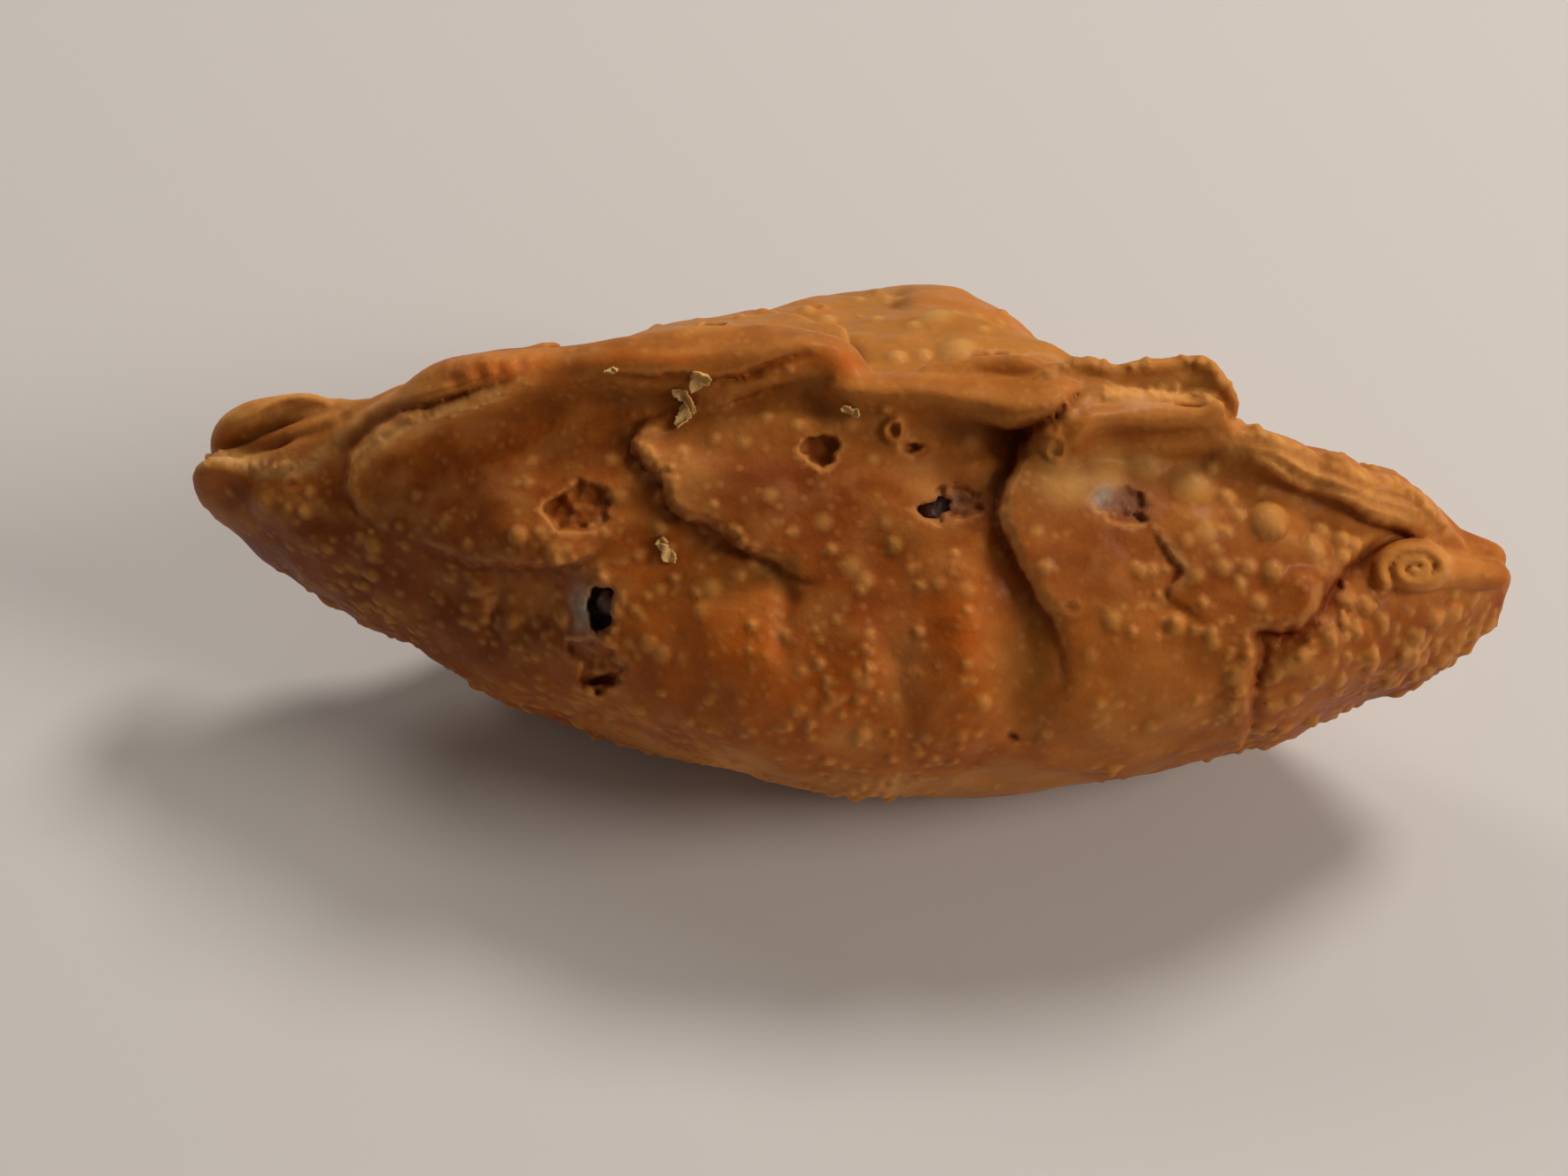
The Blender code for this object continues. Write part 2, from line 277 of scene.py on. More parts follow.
# The relief of a flank is drawn on a sheet of the shot and then raised on the pocket
sheet = {"left": 190, "right": 1760, "top": 300, "bottom": 940, "step": 2}
sheetX, sheetY = np.meshgrid(np.arange(sheet["left"], sheet["right"], sheet["step"], dtype=np.float32),
                             np.arange(sheet["top"], sheet["bottom"], sheet["step"], dtype=np.float32))
sheetPoints = np.stack([sheetX * pxSize, sheetY * pxSize, 0.0 * sheetX], -1).reshape(-1, 3)


def onSheet(wavelength, seed):
    return unevenness(sheetPoints, wavelength, seed).reshape(sheetX.shape)


# Lines are drawn on a slightly stretched sheet, so that no edge runs straight: mm to pixels
drawX = sheetX + (0.30 * onSheet(5.0, 201) + 0.03 * onSheet(1.5, 202)) / pxSize
drawY = sheetY + (0.30 * onSheet(5.0, 203) + 0.03 * onSheet(1.5, 204)) / pxSize
jagged = 0.16 * onSheet(1.3, 205) + 0.10 * onSheet(0.6, 206)


# Blur by running means, reach in mm
def softened(values, reach):
    n = max(int(reach / (sheet["step"] * pxSize)), 1)
    for axis in (0, 1, 0, 1):
        wide = np.pad(values, [(n + 1, n) if k == axis else (0, 0) for k in (0, 1)], mode="edge")
        total = np.moveaxis(np.cumsum(wide, axis=axis, dtype=float), axis, 0)
        values = np.moveaxis((total[2 * n + 1:] - total[:-2 * n - 1]) / (2 * n + 1), 0, axis)
    return values


def readSheet(values, x, y):
    col = np.clip((x - sheet["left"]) / sheet["step"], 0.0, values.shape[1] - 1.001)
    row = np.clip((y - sheet["top"]) / sheet["step"], 0.0, values.shape[0] - 1.001)
    c, r = col.astype(int), row.astype(int)
    u, v = col - c, row - r
    return ((values[r, c] * (1 - u) + values[r, c + 1] * u) * (1 - v)
            + (values[r + 1, c] * (1 - u) + values[r + 1, c + 1] * u) * v)


# Around a line: the part of the sheet, distance in mm, side (+1 on the left hand) and the
# value that the line carries
def nearLine(line, reach):
    low = (line[:, :2].min(0) - reach / pxSize - (sheet["left"], sheet["top"])) / sheet["step"]
    high = (line[:, :2].max(0) + reach / pxSize - (sheet["left"], sheet["top"])) / sheet["step"]
    cols = slice(max(int(low[0]), 0), max(int(high[0]) + 1, 0))
    rows = slice(max(int(low[1]), 0), max(int(high[1]) + 1, 0))
    x, y = drawX[rows, cols], drawY[rows, cols]
    best = np.full(x.shape, 1e9, np.float32)
    side = np.ones_like(best)
    carried = np.zeros_like(best)
    for a, b in zip(line, line[1:]):
        dx, dy = b[:2] - a[:2]
        t = unit(((x - a[0]) * dx + (y - a[1]) * dy) / max(dx * dx + dy * dy, 1e-6))
        away = np.hypot(x - a[0] - t * dx, y - a[1] - t * dy)
        nearer = away < best
        best = np.where(nearer, away, best)
        side = np.where(nearer, np.sign((x - a[0]) * dy - (y - a[1]) * dx), side)
        carried = np.where(nearer, a[2] + (b[2] - a[2]) * t, carried)
    return (rows, cols), best * pxSize, side, carried


# In lip widths: how far a lip reaches at all, over what way it falls back and how its height is
# blurred; then how much its edge wanders, the dip before it, and how far the painted shade of its
# crease reaches on its side in mm
foldLook = {"reach": 2.3, "fall": 2.2, "blur": 0.12, "wander": 0.6, "dip": 0.35, "shadeReach": 0.35}


# An overlapping lip of dough stands up on the left of its line by the step at each point and
# falls back to the flank, with a crease under its edge that is painted darker as shade
def drawFold(relief, creaseShade, fold):
    lip, edge = fold["lip"], fold["edge"]
    window, away, side, step = nearLine(smoothLine(fold["line"]), foldLook["reach"] * lip)
    away = away * side + foldLook["wander"] * jagged[window]
    side, away = np.sign(away), np.abs(away)
    raised = (side > 0) * 1.0
    fall = unit(1.0 - away / (foldLook["fall"] * lip)) ** 2
    blur = foldLook["blur"] * lip
    plateau = softened(raised * step * fall, blur) / np.maximum(softened(raised, blur), 0.05)
    rise = np.sqrt(unit(1.0 - (1.0 - np.minimum(away / edge, 1.0)) ** 2))
    low = -fold.get("dip", foldLook["dip"]) * step * np.exp(-(away / (0.4 + 0.3 * step)) ** 1.5)
    relief[window] += np.where(side > 0, rise * plateau, low)
    reach = np.where(side > 0, foldLook["shadeReach"], 0.3 + 0.3 * step)
    # painted shade: the crease under the lip's edge is painted darker
    dark = unit(step / 2.2) * bell(away / reach)
    creaseShade[window] = np.maximum(creaseShade[window], dark)


# A ridge, or below zero a valley, along a line of (x, y, height)
def drawRidge(relief, creaseShade, ridge):
    wide = ridge["wide"]
    window, away, _, height = nearLine(smoothLine(ridge["line"]), 3.0 * wide)
    shape = bell(away / wide)
    relief[window] += height * shape
    # painted shade: a valley is painted darker
    creaseShade[window] = np.maximum(creaseShade[window], 0.5 * shape * unit(-height))


# How much of a soft oval each pixel gets: pixels, half sizes in mm, degrees
def softOval(x, y, wide, tall, lean=0.0):
    dx, dy = (drawX - x) * pxSize, (drawY - y) * pxSize
    c, s = math.cos(math.radians(lean)), math.sin(math.radians(lean))
    return np.exp(-((c * dx + s * dy) / wide) ** 2 - ((c * dy - s * dx) / tall) ** 2)


# What the numbers of a hole mean: pixels, size, depth and height of the rim in mm, how ragged, how
# much painted shade darkens its edge and inside, how pale around, and the highest level its floor
# starts from
holeNames = ("x", "y", "wide", "tall", "depth", "rim", "ragged", "torn", "pale", "seed", "level")


# Distance inside a torn outline, mm, below zero outside
def raggedRim(hole):
    dice = np.random.default_rng(hole["seed"])
    dx, dy = (drawX - hole["x"]) * pxSize, (drawY - hole["y"]) * pxSize
    turn = np.arctan2(dy / hole["tall"], dx / hole["wide"])
    rim = np.ones_like(turn)
    for k in (2, 3, 5, 8):
        rim += hole["ragged"] * dice.uniform(0.5, 1.0) / k ** 0.5 * np.cos(k * turn + dice.uniform(0.0, 6.28))
    reach = np.hypot(dx / (hole["wide"] / 2.0), dy / (hole["tall"] / 2.0))
    return (rim - reach) * min(hole["wide"], hole["tall"]) / 2.0 + jagged


# Of every hole, in mm: how wide its edge, its raised rim and the pale skin around it are
holeLook = {"edge": 0.3, "rimWide": 0.55, "skinWide": 0.35}


# A blister that burst: a ragged edge, thin skin that curls up around it and a floor below
def drawHole(relief, masks, hole):
    inside = raggedRim(hole)
    opened = unit(inside / holeLook["edge"] + 0.5)
    rim = hole["rim"] * bell(inside / holeLook["rimWide"]) * (inside < 0.12)
    rim *= 0.6 + 2.0 * np.maximum(jagged, 0.0)
    base = relief + rim
    floor = np.minimum(relief, hole.get("level", 0.6)) - hole["depth"] + 0.22 * onSheet(1.1, hole["seed"] + 9)
    relief[:] = base * (1.0 - opened) + floor * opened
    # painted shade: the edge and inside of the burst are painted darker
    masks["torn"] = np.maximum(masks["torn"], unit(inside / holeLook["edge"] + 0.8) * hole["torn"])
    skin = hole["pale"] * bell(np.maximum(-inside, 0.0) / holeLook["skinWide"]) * (inside < 0.15)
    skin *= np.clip(0.6 + 4.0 * jagged, 0.1, 1.4)
    masks["pale"] = np.maximum(masks["pale"], skin)


# A small blister that fell in: a raised ring with a dimple
def drawRing(relief, x, y, radius, height):
    ringWide, dimpleDeep, dimpleWide = 0.32, 0.7, 0.55
    away = np.hypot(drawX - x, drawY - y) * pxSize
    relief += height * (bell((away - radius) / ringWide) - dimpleDeep * bell(away / (dimpleWide * radius)))


# The flank in front. Lines are (x, y, mm): pixels of the shot, then how high the lip or the ridge is
front = {
    "folds": {
        "leftPleat": {"lip": 9.0, "edge": 1.2, "line": [
            (612, 419, 0.0), (590, 425, 0.3), (560, 434, 0.7), (530, 442, 1.0), (505, 451, 1.2),
            (480, 459, 1.3), (455, 468, 1.4), (432, 480, 1.5), (412, 495, 1.5), (397, 513, 1.5),
            (389, 535, 1.5), (390, 556, 1.1), (402, 574, 0.6), (425, 592, 0.3), (455, 607, 0.2),
            (486, 620, 0.6), (520, 631, 1.7), (560, 638, 2.6), (602, 642, 2.8), (640, 637, 2.0),
            (665, 628, 1.0), (690, 613, 0.4), (715, 596, 0.0)]},
        "middlePleat": {"lip": 6.5, "edge": 1.3, "line": [
            (790, 455, 0.0), (758, 462, 0.2), (735, 470, 0.6), (719, 484, 1.1), (714, 500, 1.5),
            (721, 516, 1.8), (733, 533, 2.0), (746, 552, 2.2), (766, 576, 2.2), (795, 597, 2.0),
            (829, 614, 1.9), (858, 628, 1.7), (884, 645, 1.2), (905, 655, 0.6), (930, 660, 0.0)]},
        "rightPleat": {"lip": 9.0, "edge": 1.6, "line": [
            (1240, 440, 0.0), (1222, 446, 0.7), (1198, 458, 1.4), (1176, 476, 2.0), (1156, 500, 2.5),
            (1140, 528, 2.8), (1129, 560, 2.9), (1126, 588, 2.8), (1133, 612, 2.6), (1150, 640, 2.4),
            (1169, 670, 2.0), (1186, 702, 1.4), (1197, 735, 0.8), (1203, 765, 0.3), (1206, 790, 0.0)]},
        "rightPleatFoot": {"lip": 8.0, "edge": 1.3, "line": [
            (1400, 856, 0.0), (1404, 836, 0.8), (1412, 800, 1.4), (1420, 765, 1.8), (1422, 735, 2.2),
            (1425, 718, 2.6), (1446, 714, 3.0), (1470, 705, 3.0), (1490, 686, 2.9), (1500, 668, 2.8),
            (1520, 647, 2.6), (1538, 625, 1.9), (1552, 612, 1.0), (1572, 606, 0.0)]},
        "bandLow": {"lip": 3.2, "edge": 0.8, "dip": 0.5, "line": [
            (636, 438, 0.0), (665, 432, 0.3), (700, 427, 0.6), (735, 426, 0.8), (766, 425, 0.9),
            (795, 430, 1.0), (815, 430, 1.1), (840, 421, 1.1), (865, 412, 1.0), (891, 405, 0.8),
            (915, 400, 0.4), (930, 396, 0.0)]},
        "crossLow": {"lip": 2.2, "edge": 0.8, "dip": 0.5, "line": [
            (776, 470, 0.0), (796, 463, 0.4), (820, 455, 0.7), (845, 447, 0.7), (870, 439, 0.6),
            (895, 431, 0.4), (920, 426, 0.2), (950, 424, 0.0)]},
        "hemLow": {"lip": 3.2, "edge": 1.3, "line": [
            (1060, 474, 0.0), (1090, 480, 0.5), (1118, 485, 1.1), (1140, 488, 1.7), (1162, 485, 2.1),
            (1182, 473, 2.1), (1200, 459, 1.7), (1216, 447, 0.8), (1228, 440, 0.0)]},
        "skinEdge": {"lip": 3.0, "edge": 0.5, "dip": 0.5, "line": [
            (1286, 584, 0.0), (1300, 603, 0.3), (1315, 622, 0.5), (1328, 640, 0.6), (1326, 655, 0.6),
            (1318, 668, 0.4), (1324, 682, 0.3), (1350, 695, 0.2), (1372, 702, 0.0)]},
        "strandsLow": {"lip": 2.6, "edge": 1.0, "line": [
            (1392, 520, 0.0), (1425, 532, 0.5), (1465, 550, 0.8), (1505, 568, 1.0), (1545, 588, 1.3),
            (1580, 602, 1.3), (1610, 611, 0.6), (1635, 620, 0.0)]},
    },
    "ridges": {
        "wrapRim": {"wide": 1.0, "line": [
            (392, 560, 0.2), (392, 538, 0.5), (402, 518, 0.6), (425, 500, 0.7), (452, 486, 0.7),
            (480, 474, 0.7), (515, 464, 0.6), (545, 454, 0.6), (575, 441, 0.5), (600, 428, 0.3)]},
        "hem": {"wide": 1.5, "line": [
            (868, 446, 0.2), (900, 444, 0.5), (950, 440, 0.7), (1000, 440, 0.8), (1050, 444, 0.9),
            (1100, 452, 1.0), (1140, 460, 1.0), (1175, 457, 0.8), (1200, 449, 0.4)]},
        "cross": {"wide": 0.8, "line": [
            (790, 446, 0.3), (820, 438, 0.6), (850, 430, 0.7), (880, 420, 0.6), (905, 413, 0.4)]},
        "topBand": {"wide": 1.6, "line": [
            (620, 412, 0.2), (660, 406, 0.5), (720, 402, 0.7), (780, 402, 0.8), (840, 398, 0.8),
            (900, 392, 0.7), (935, 393, 0.5)]},
        "flapCollar": {"wide": 1.0, "line": [
            (1300, 478, 0.4), (1268, 474, 0.7), (1242, 472, 0.8), (1226, 482, 0.7), (1214, 496, 0.4)]},
        "upperStrand": {"wide": 1.1, "line": [
            (1400, 493, 0.3), (1440, 503, 0.5), (1480, 523, 0.5), (1530, 543, 0.5), (1580, 559, 0.5),
            (1620, 582, 0.4), (1650, 606, 0.3)]},
        "lowerStrand": {"wide": 1.2, "line": [
            (1420, 516, 0.3), (1460, 532, 0.5), (1500, 551, 0.6), (1540, 566, 0.6), (1580, 580, 0.6),
            (1620, 596, 0.5), (1650, 610, 0.4)]},
        "wrapFill": {"wide": 1.0, "line": [
            (428, 480, 0.2), (455, 462, 0.8), (485, 448, 1.1), (520, 436, 1.1), (555, 426, 0.9),
            (590, 420, 0.4)]},
        "pleatedCrest": {"wide": 1.6, "line": [
            (500, 424, 0.2), (530, 416, 0.8), (560, 412, 1.0), (590, 409, 0.8), (612, 408, 0.3)]},
        "gatherA": {"wide": 0.6, "line": [(508, 418, 0.0), (514, 428, -0.4), (522, 440, -0.1)]},
        "gatherB": {"wide": 0.6, "line": [(532, 408, 0.0), (537, 420, -0.5), (543, 432, -0.2)]},
        "gatherC": {"wide": 0.6, "line": [(558, 404, 0.0), (562, 416, -0.4), (566, 428, -0.2)]},
        "gatherD": {"wide": 0.6, "line": [(586, 402, 0.0), (589, 412, -0.4), (592, 422, -0.1)]},
        "upperGroove": {"wide": 0.5, "line": [
            (1388, 490, -0.1), (1420, 498, -0.4), (1460, 512, -0.5), (1500, 533, -0.5), (1545, 552, -0.4),
            (1590, 568, -0.4), (1625, 592, -0.2)]},
        "lowerGroove": {"wide": 0.5, "line": [
            (1405, 508, -0.1), (1440, 522, -0.5), (1475, 540, -0.6), (1510, 555, -0.5), (1550, 568, -0.4),
            (1590, 582, -0.3), (1625, 598, -0.1)]},
        "underFlap": {"wide": 0.9, "line": [
            (1232, 500, -0.3), (1253, 490, -0.8), (1293, 486, -0.9), (1340, 486, -0.8), (1380, 486, -0.4)]},
        "belly": {"wide": 1.3, "line": [
            (884, 650, -0.4), (886, 672, -0.9), (884, 700, -0.7), (886, 730, -0.5), (890, 760, -0.1)]},
        "glossy": {"wide": 1.4, "line": [
            (985, 690, -0.1), (1005, 730, -0.3), (1020, 775, -0.3), (1030, 820, -0.1)]},
        "right": {"wide": 1.6, "line": [
            (1120, 640, -0.1), (1150, 690, -0.4), (1160, 740, -0.4), (1145, 800, -0.2), (1140, 830, 0.0)]},
        "left": {"wide": 1.4, "line": [
            (566, 640, -0.7), (566, 690, -0.7), (572, 740, -0.2)]},
    },
    # x, y, half width and half height in mm, how proud or how deep, lean
    "swells": {
        "leftPleatCrown": (520, 548, 9.0, 4.5, 0.9, 12),
        "leftPleatLip": (600, 612, 6.0, 2.4, 0.8, 5),
        "middlePleatCrown": (830, 520, 9.0, 6.0, 1.2, 10),
        "middlePleatRight": (990, 540, 9.0, 6.0, 0.8, 5),
        "rightPleatCrown": (1230, 600, 7.5, 10.0, 1.6, 0),
        "rightPleatBack": (1400, 610, 8.0, 6.0, 1.2, 25),
        "rightLobe": (1470, 665, 2.6, 2.4, 1.3, 0),
        "rightEnd": (1500, 745, 8.0, 5.5, 2.6, -25),
        "leftEnd": (300, 575, 7.0, 3.0, 0.8, 25),
        "leftTipTrim": (232, 604, 3.6, 2.2, -2.4, 30),
        "bellyLeft": (830, 735, 5.5, 6.0, 1.3, 0),
        "bellyMiddle": (965, 700, 4.0, 7.0, 0.8, 0),
        "bellyRight": (1090, 715, 3.6, 7.0, 1.3, 5),
        "bellyFar": (1290, 760, 9.0, 6.0, 1.0, 0),
        "keelTrim": (770, 872, 11.0, 2.8, -1.6, 12),
        "keelTrimMiddle": (900, 896, 8.0, 2.6, -0.8, 0),
        "underBand": (890, 476, 9.0, 1.8, 0.9, 0),
        "underHem": (1010, 492, 7.0, 2.0, 0.5, 5),
        "keelTrimRight": (1100, 893, 13.0, 3.0, -1.4, 0),
        "endTrim": (1525, 803, 4.0, 2.6, -1.5, -30),
        "underLip": (600, 678, 3.6, 3.0, -1.6, 0),
        "hollowLeft": (500, 662, 7.0, 3.0, -0.8, 15),
        "greenHollow": (866, 642, 3.0, 2.4, -0.5, 0),
        "glossyDent": (1020, 770, 3.5, 5.5, -0.5, 10),
        "rightHollow": (1150, 760, 3.0, 5.5, -0.8, 0),
        "rightFoot": (1350, 700, 4.0, 6.0, 0.5, 0),
        "paleDent": (1040, 480, 6.0, 2.0, -0.6, 0),
        "lumpUnderLip": (575, 700, 1.0, 2.4, 0.8, 0),
    },
    # burst blisters, in the order of holeNames
    "holes": {
        "leftBurst": (655, 572, 5.8, 5.0, 0.8, 0.25, 0.17, 0.35, 0.25, 3),
        "middleBurst": (928, 509, 3.6, 3.4, 0.8, 0.35, 0.14, 0.35, 0.25, 5),
        "smallTear": (1035, 506, 1.9, 0.9, 0.9, 0.25, 0.2, 0.6, 0.2, 8),
        "fillingPatch": (1076, 570, 5.6, 3.6, 0.45, 0.0, 0.25, 0.3, 0.0, 14),
        "fillingHole": (1050, 577, 1.9, 1.5, 4.5, 0.0, 0.25, 0.7, 0.0, 15),
        "membrane": (662, 692, 2.4, 4.6, 0.35, 0.1, 0.1, 0.0, 0.1, 18),
        "glassHole": (680, 690, 1.9, 4.4, 4.5, 0.15, 0.1, 0.9, 0.3, 17),
        "tornPatch": (674, 752, 5.0, 4.4, 0.6, 0.25, 0.28, 0.3, 0.25, 21),
        "tornSlot": (684, 768, 3.0, 1.0, 0.8, 0.1, 0.35, 0.8, 0.1, 22),
        "rightBurst": (1264, 568, 5.0, 2.8, 0.75, 0.1, 0.2, 0.0, 0.2, 25, 9.0),
        "rightBurstSlit": (1272, 584, 3.2, 0.9, 0.6, 0.15, 0.3, 0.6, 0.2, 26, 9.0),
        "pinHole": (1143, 831, 0.6, 0.5, 0.5, 0.0, 0.1, 1.0, 0.0, 31),
    },
    # small raised rings with a dimple: pixels, radius and height in mm
    "rings": [(331, 545, 0.75, 0.12), (1010, 488, 0.95, 0.5), (1190, 508, 0.95, 0.45), (1185, 486, 0.6, 0.3),
              (998, 885, 0.7, 0.4), (1080, 640, 0.6, 0.2), (1210, 690, 0.9, 0.25)],
    # colour of the skin, and painted light and shade: x, y, half width, half height in mm, amount
    "stains": {
        # painted light: an orange glow where light shines through thin dough, with some orange patches of the
        # skin
        "orangeAndGlowLight": [(830, 735, 9.0, 4.5, 0.7), (1090, 715, 4.5, 7.0, 0.8), (565, 420, 5.0, 1.8, 1.0),
                 (600, 668, 3.0, 2.4, 0.5), (950, 780, 13.0, 7.0, 0.6), (720, 650, 4.0, 2.4, 0.4),
                 (955, 408, 2.4, 1.4, 0.8), (335, 457, 4.4, 1.4, 0.3), (675, 728, 1.6, 1.4, 0.7),
                 (1150, 640, 1.6, 3.0, 0.4)],
        "olive": [(874, 645, 2.4, 1.6, 1.0), (1152, 750, 3.0, 7.0, 0.7), (1215, 550, 4.4, 2.6, 0.3),
                  (1285, 840, 8.0, 3.0, 0.4), (800, 660, 3.0, 2.2, 0.3)],
        "veil": [(660, 690, 1.3, 2.4, 1.0), (1246, 563, 1.1, 1.0, 0.9)],
        "ghost": [(1226, 540, 4.4, 1.4, 0.45), (1292, 524, 2.4, 1.2, 0.4),
                  (1345, 545, 2.4, 2.0, 0.35), (1200, 555, 2.0, 1.6, 0.4), (1048, 530, 3.4, 1.5, 0.3),
                  (1088, 480, 2.6, 1.6, 0.3)],
        "wet": [(1078, 568, 2.4, 1.5, 0.75), (1050, 577, 1.2, 1.0, 0.8), (681, 690, 1.0, 2.6, 0.9),
                (1276, 568, 2.0, 1.3, 0.8)],
        # painted light: a pale golden wash where the flank catches light
        "honeyLight": [(1290, 770, 13.0, 9.0, 0.8), (820, 715, 9.0, 6.0, 0.6), (1200, 650, 5.0, 6.0, 0.3),
                  (1350, 480, 8.0, 2.2, 0.5), (900, 474, 12.0, 2.2, 0.3), (1540, 575, 12.0, 3.4, 0.6),
                  (470, 444, 7.0, 2.2, 0.6), (1604, 640, 5.0, 3.4, 1.0)],
        # pale floury crust, and in places painted light
        "flourAndLight": [(540, 482, 2.0, 1.0, 0.25), (1110, 402, 3.0, 0.8, 0.6),
                  (1020, 760, 2.2, 5.4, 0.5), (775, 533, 2.6, 2.6, 0.3), (960, 838, 3.0, 1.4, 0.5),
                  (830, 862, 3.4, 1.2, 0.6), (1000, 890, 5.0, 1.4, 0.5), (1075, 640, 3.0, 2.0, 0.3),
                  (1050, 402, 5.0, 1.4, 1.0), (1056, 358, 1.8, 1.4, 0.7), (930, 358, 2.0, 1.2, 0.7),
                  (1305, 445, 6.0, 0.9, 1.0), (262, 516, 4.5, 0.7, 0.8)],
        # the next darker ovals are partly deeper browning and partly painted shade, where the flank lies in
        # shade
        "toastAndShade": [(370, 600, 15.0, 8.0, 0.9), (420, 660, 8.0, 5.0, 0.95), (520, 690, 13.0, 7.0, 0.9),
                    (530, 560, 12.0, 5.0, 0.8), (600, 610, 6.0, 2.4, 0.7), (660, 590, 6.0, 6.0, 0.5),
                    (850, 550, 12.0, 6.0, 0.9), (1000, 620, 8.0, 5.0, 0.5), (1160, 560, 3.0, 8.0, 0.8),
                    (870, 474, 14.0, 2.5, 0.6), (1230, 620, 8.0, 9.0, 0.5), (1430, 600, 10.0, 7.0, 0.55),
                    (1330, 540, 8.0, 3.0, 0.5), (960, 700, 6.0, 8.0, 0.8), (1540, 740, 12.0, 6.0, 0.35)],
    },
    # the same along lines: paint, half width in mm, then (x, y, amount)
    "strips": [
        ("flourAndLight", 1.1, [(392, 548, 0.3), (400, 520, 0.6), (425, 500, 0.8), (455, 484, 0.8), (490, 470, 0.9),
                        (530, 456, 0.9), (570, 444, 0.8), (612, 424, 0.4)]),
        ("flourAndLight", 0.7, [(226, 522, 0.9), (247, 517, 0.9), (275, 524, 0.9), (304, 530, 0.8), (336, 526, 0.7),
                        (370, 508, 0.6), (400, 480, 0.5), (440, 455, 0.5), (500, 414, 0.3)]),
        ("flourAndLight", 1.2, [(722, 494, 0.2), (736, 520, 0.4), (752, 545, 0.4), (775, 570, 0.3), (810, 596, 0.1)]),
        ("flourAndLight", 0.8, [(1246, 446, 0.8), (1290, 440, 1.0), (1340, 442, 1.0), (1368, 450, 0.8)]),
        ("flourAndLight", 0.5, [(1190, 416, 0.3), (1224, 405, 0.7), (1262, 414, 0.7), (1300, 403, 0.8),
                        (1349, 399, 0.9), (1376, 420, 0.9), (1388, 446, 0.9)]),
        ("flourAndLight", 0.8, [(1400, 484, 0.3), (1444, 496, 0.5), (1475, 515, 0.6), (1534, 537, 0.6),
                        (1599, 558, 0.5), (1626, 590, 0.4)]),
        ("pale", 0.7, [(226, 521, 0.8), (247, 518, 1.0), (275, 524, 1.0), (304, 529, 0.9), (336, 525, 0.8),
                       (370, 508, 0.7), (400, 480, 0.5)]),
        ("pale", 0.8, [(410, 508, 0.4), (440, 490, 0.7), (480, 474, 0.8), (530, 457, 0.8), (570, 444, 0.6)]),
        # painted light: an orange glow along the wrap rim
        ("orangeAndGlowLight", 1.2, [(440, 492, 0.4), (500, 468, 0.7), (560, 448, 0.9), (600, 430, 0.8)]),
        ("pale", 0.45, [(530, 634, 0.3), (570, 641, 0.5), (610, 643, 0.5), (645, 636, 0.4)]),
        ("pale", 0.45, [(1300, 596, 0.3), (1322, 622, 0.7), (1336, 645, 0.7), (1330, 668, 0.6)]),
        # painted light: the next three pale strips lift the curl of the left tip, the rope at the right and
        # the seam's crest, which the lamps leave in shade
        ("flourAndLight", 1.6, [(250, 470, 0.6), (300, 460, 0.9), (350, 456, 0.9), (390, 462, 0.6)]),
        ("flourAndLight", 1.5, [(1400, 508, 0.4), (1450, 522, 0.8), (1500, 548, 0.8), (1560, 572, 0.8),
                        (1620, 600, 0.5)]),
        ("flourAndLight", 1.0, [(404, 474, 0.2), (455, 440, 0.5), (515, 405, 0.5), (600, 397, 0.4), (680, 390, 0.2)]),
        # the next two darker strips are painted shade under the seam's band and along its top, with some
        # deeper browning
        ("toastAndShade", 1.3, [(470, 505, 0.4), (540, 478, 0.6), (600, 456, 0.8), (660, 446, 1.0), (720, 442, 1.0),
                          (770, 452, 0.7), (820, 462, 0.3)]),
        ("toastAndShade", 1.5, [(620, 405, 0.2), (700, 393, 0.4), (800, 390, 0.5), (900, 386, 0.5),
                          (940, 392, 0.2)]),
        # painted light: a pale golden wash on the curl of the left tip
        ("honeyLight", 2.0, [(250, 480, 0.8), (300, 468, 1.0), (350, 462, 1.0), (390, 464, 0.7)]),
        # painted light: a pale strip on the rolled end
        ("flourAndLight", 2.4, [(1580, 640, 0.4), (1610, 640, 0.5), (1650, 640, 0.4)]),
        # orange patches along the seam's top band, partly painted light of the same glow
        ("orangeAndGlowLight", 0.8, [(636, 414, 0.3), (680, 404, 0.6), (735, 402, 0.8), (772, 405, 0.8), (800, 395, 0.3)]),
        ("orangeAndGlowLight", 0.7, [(840, 425, 0.4), (880, 412, 0.7), (920, 404, 0.9), (935, 400, 0.6)]),
        ("pale", 0.7, [(1134, 545, 0.3), (1130, 585, 0.5), (1150, 630, 0.3), (1180, 684, 0.2)]),
    ],
}

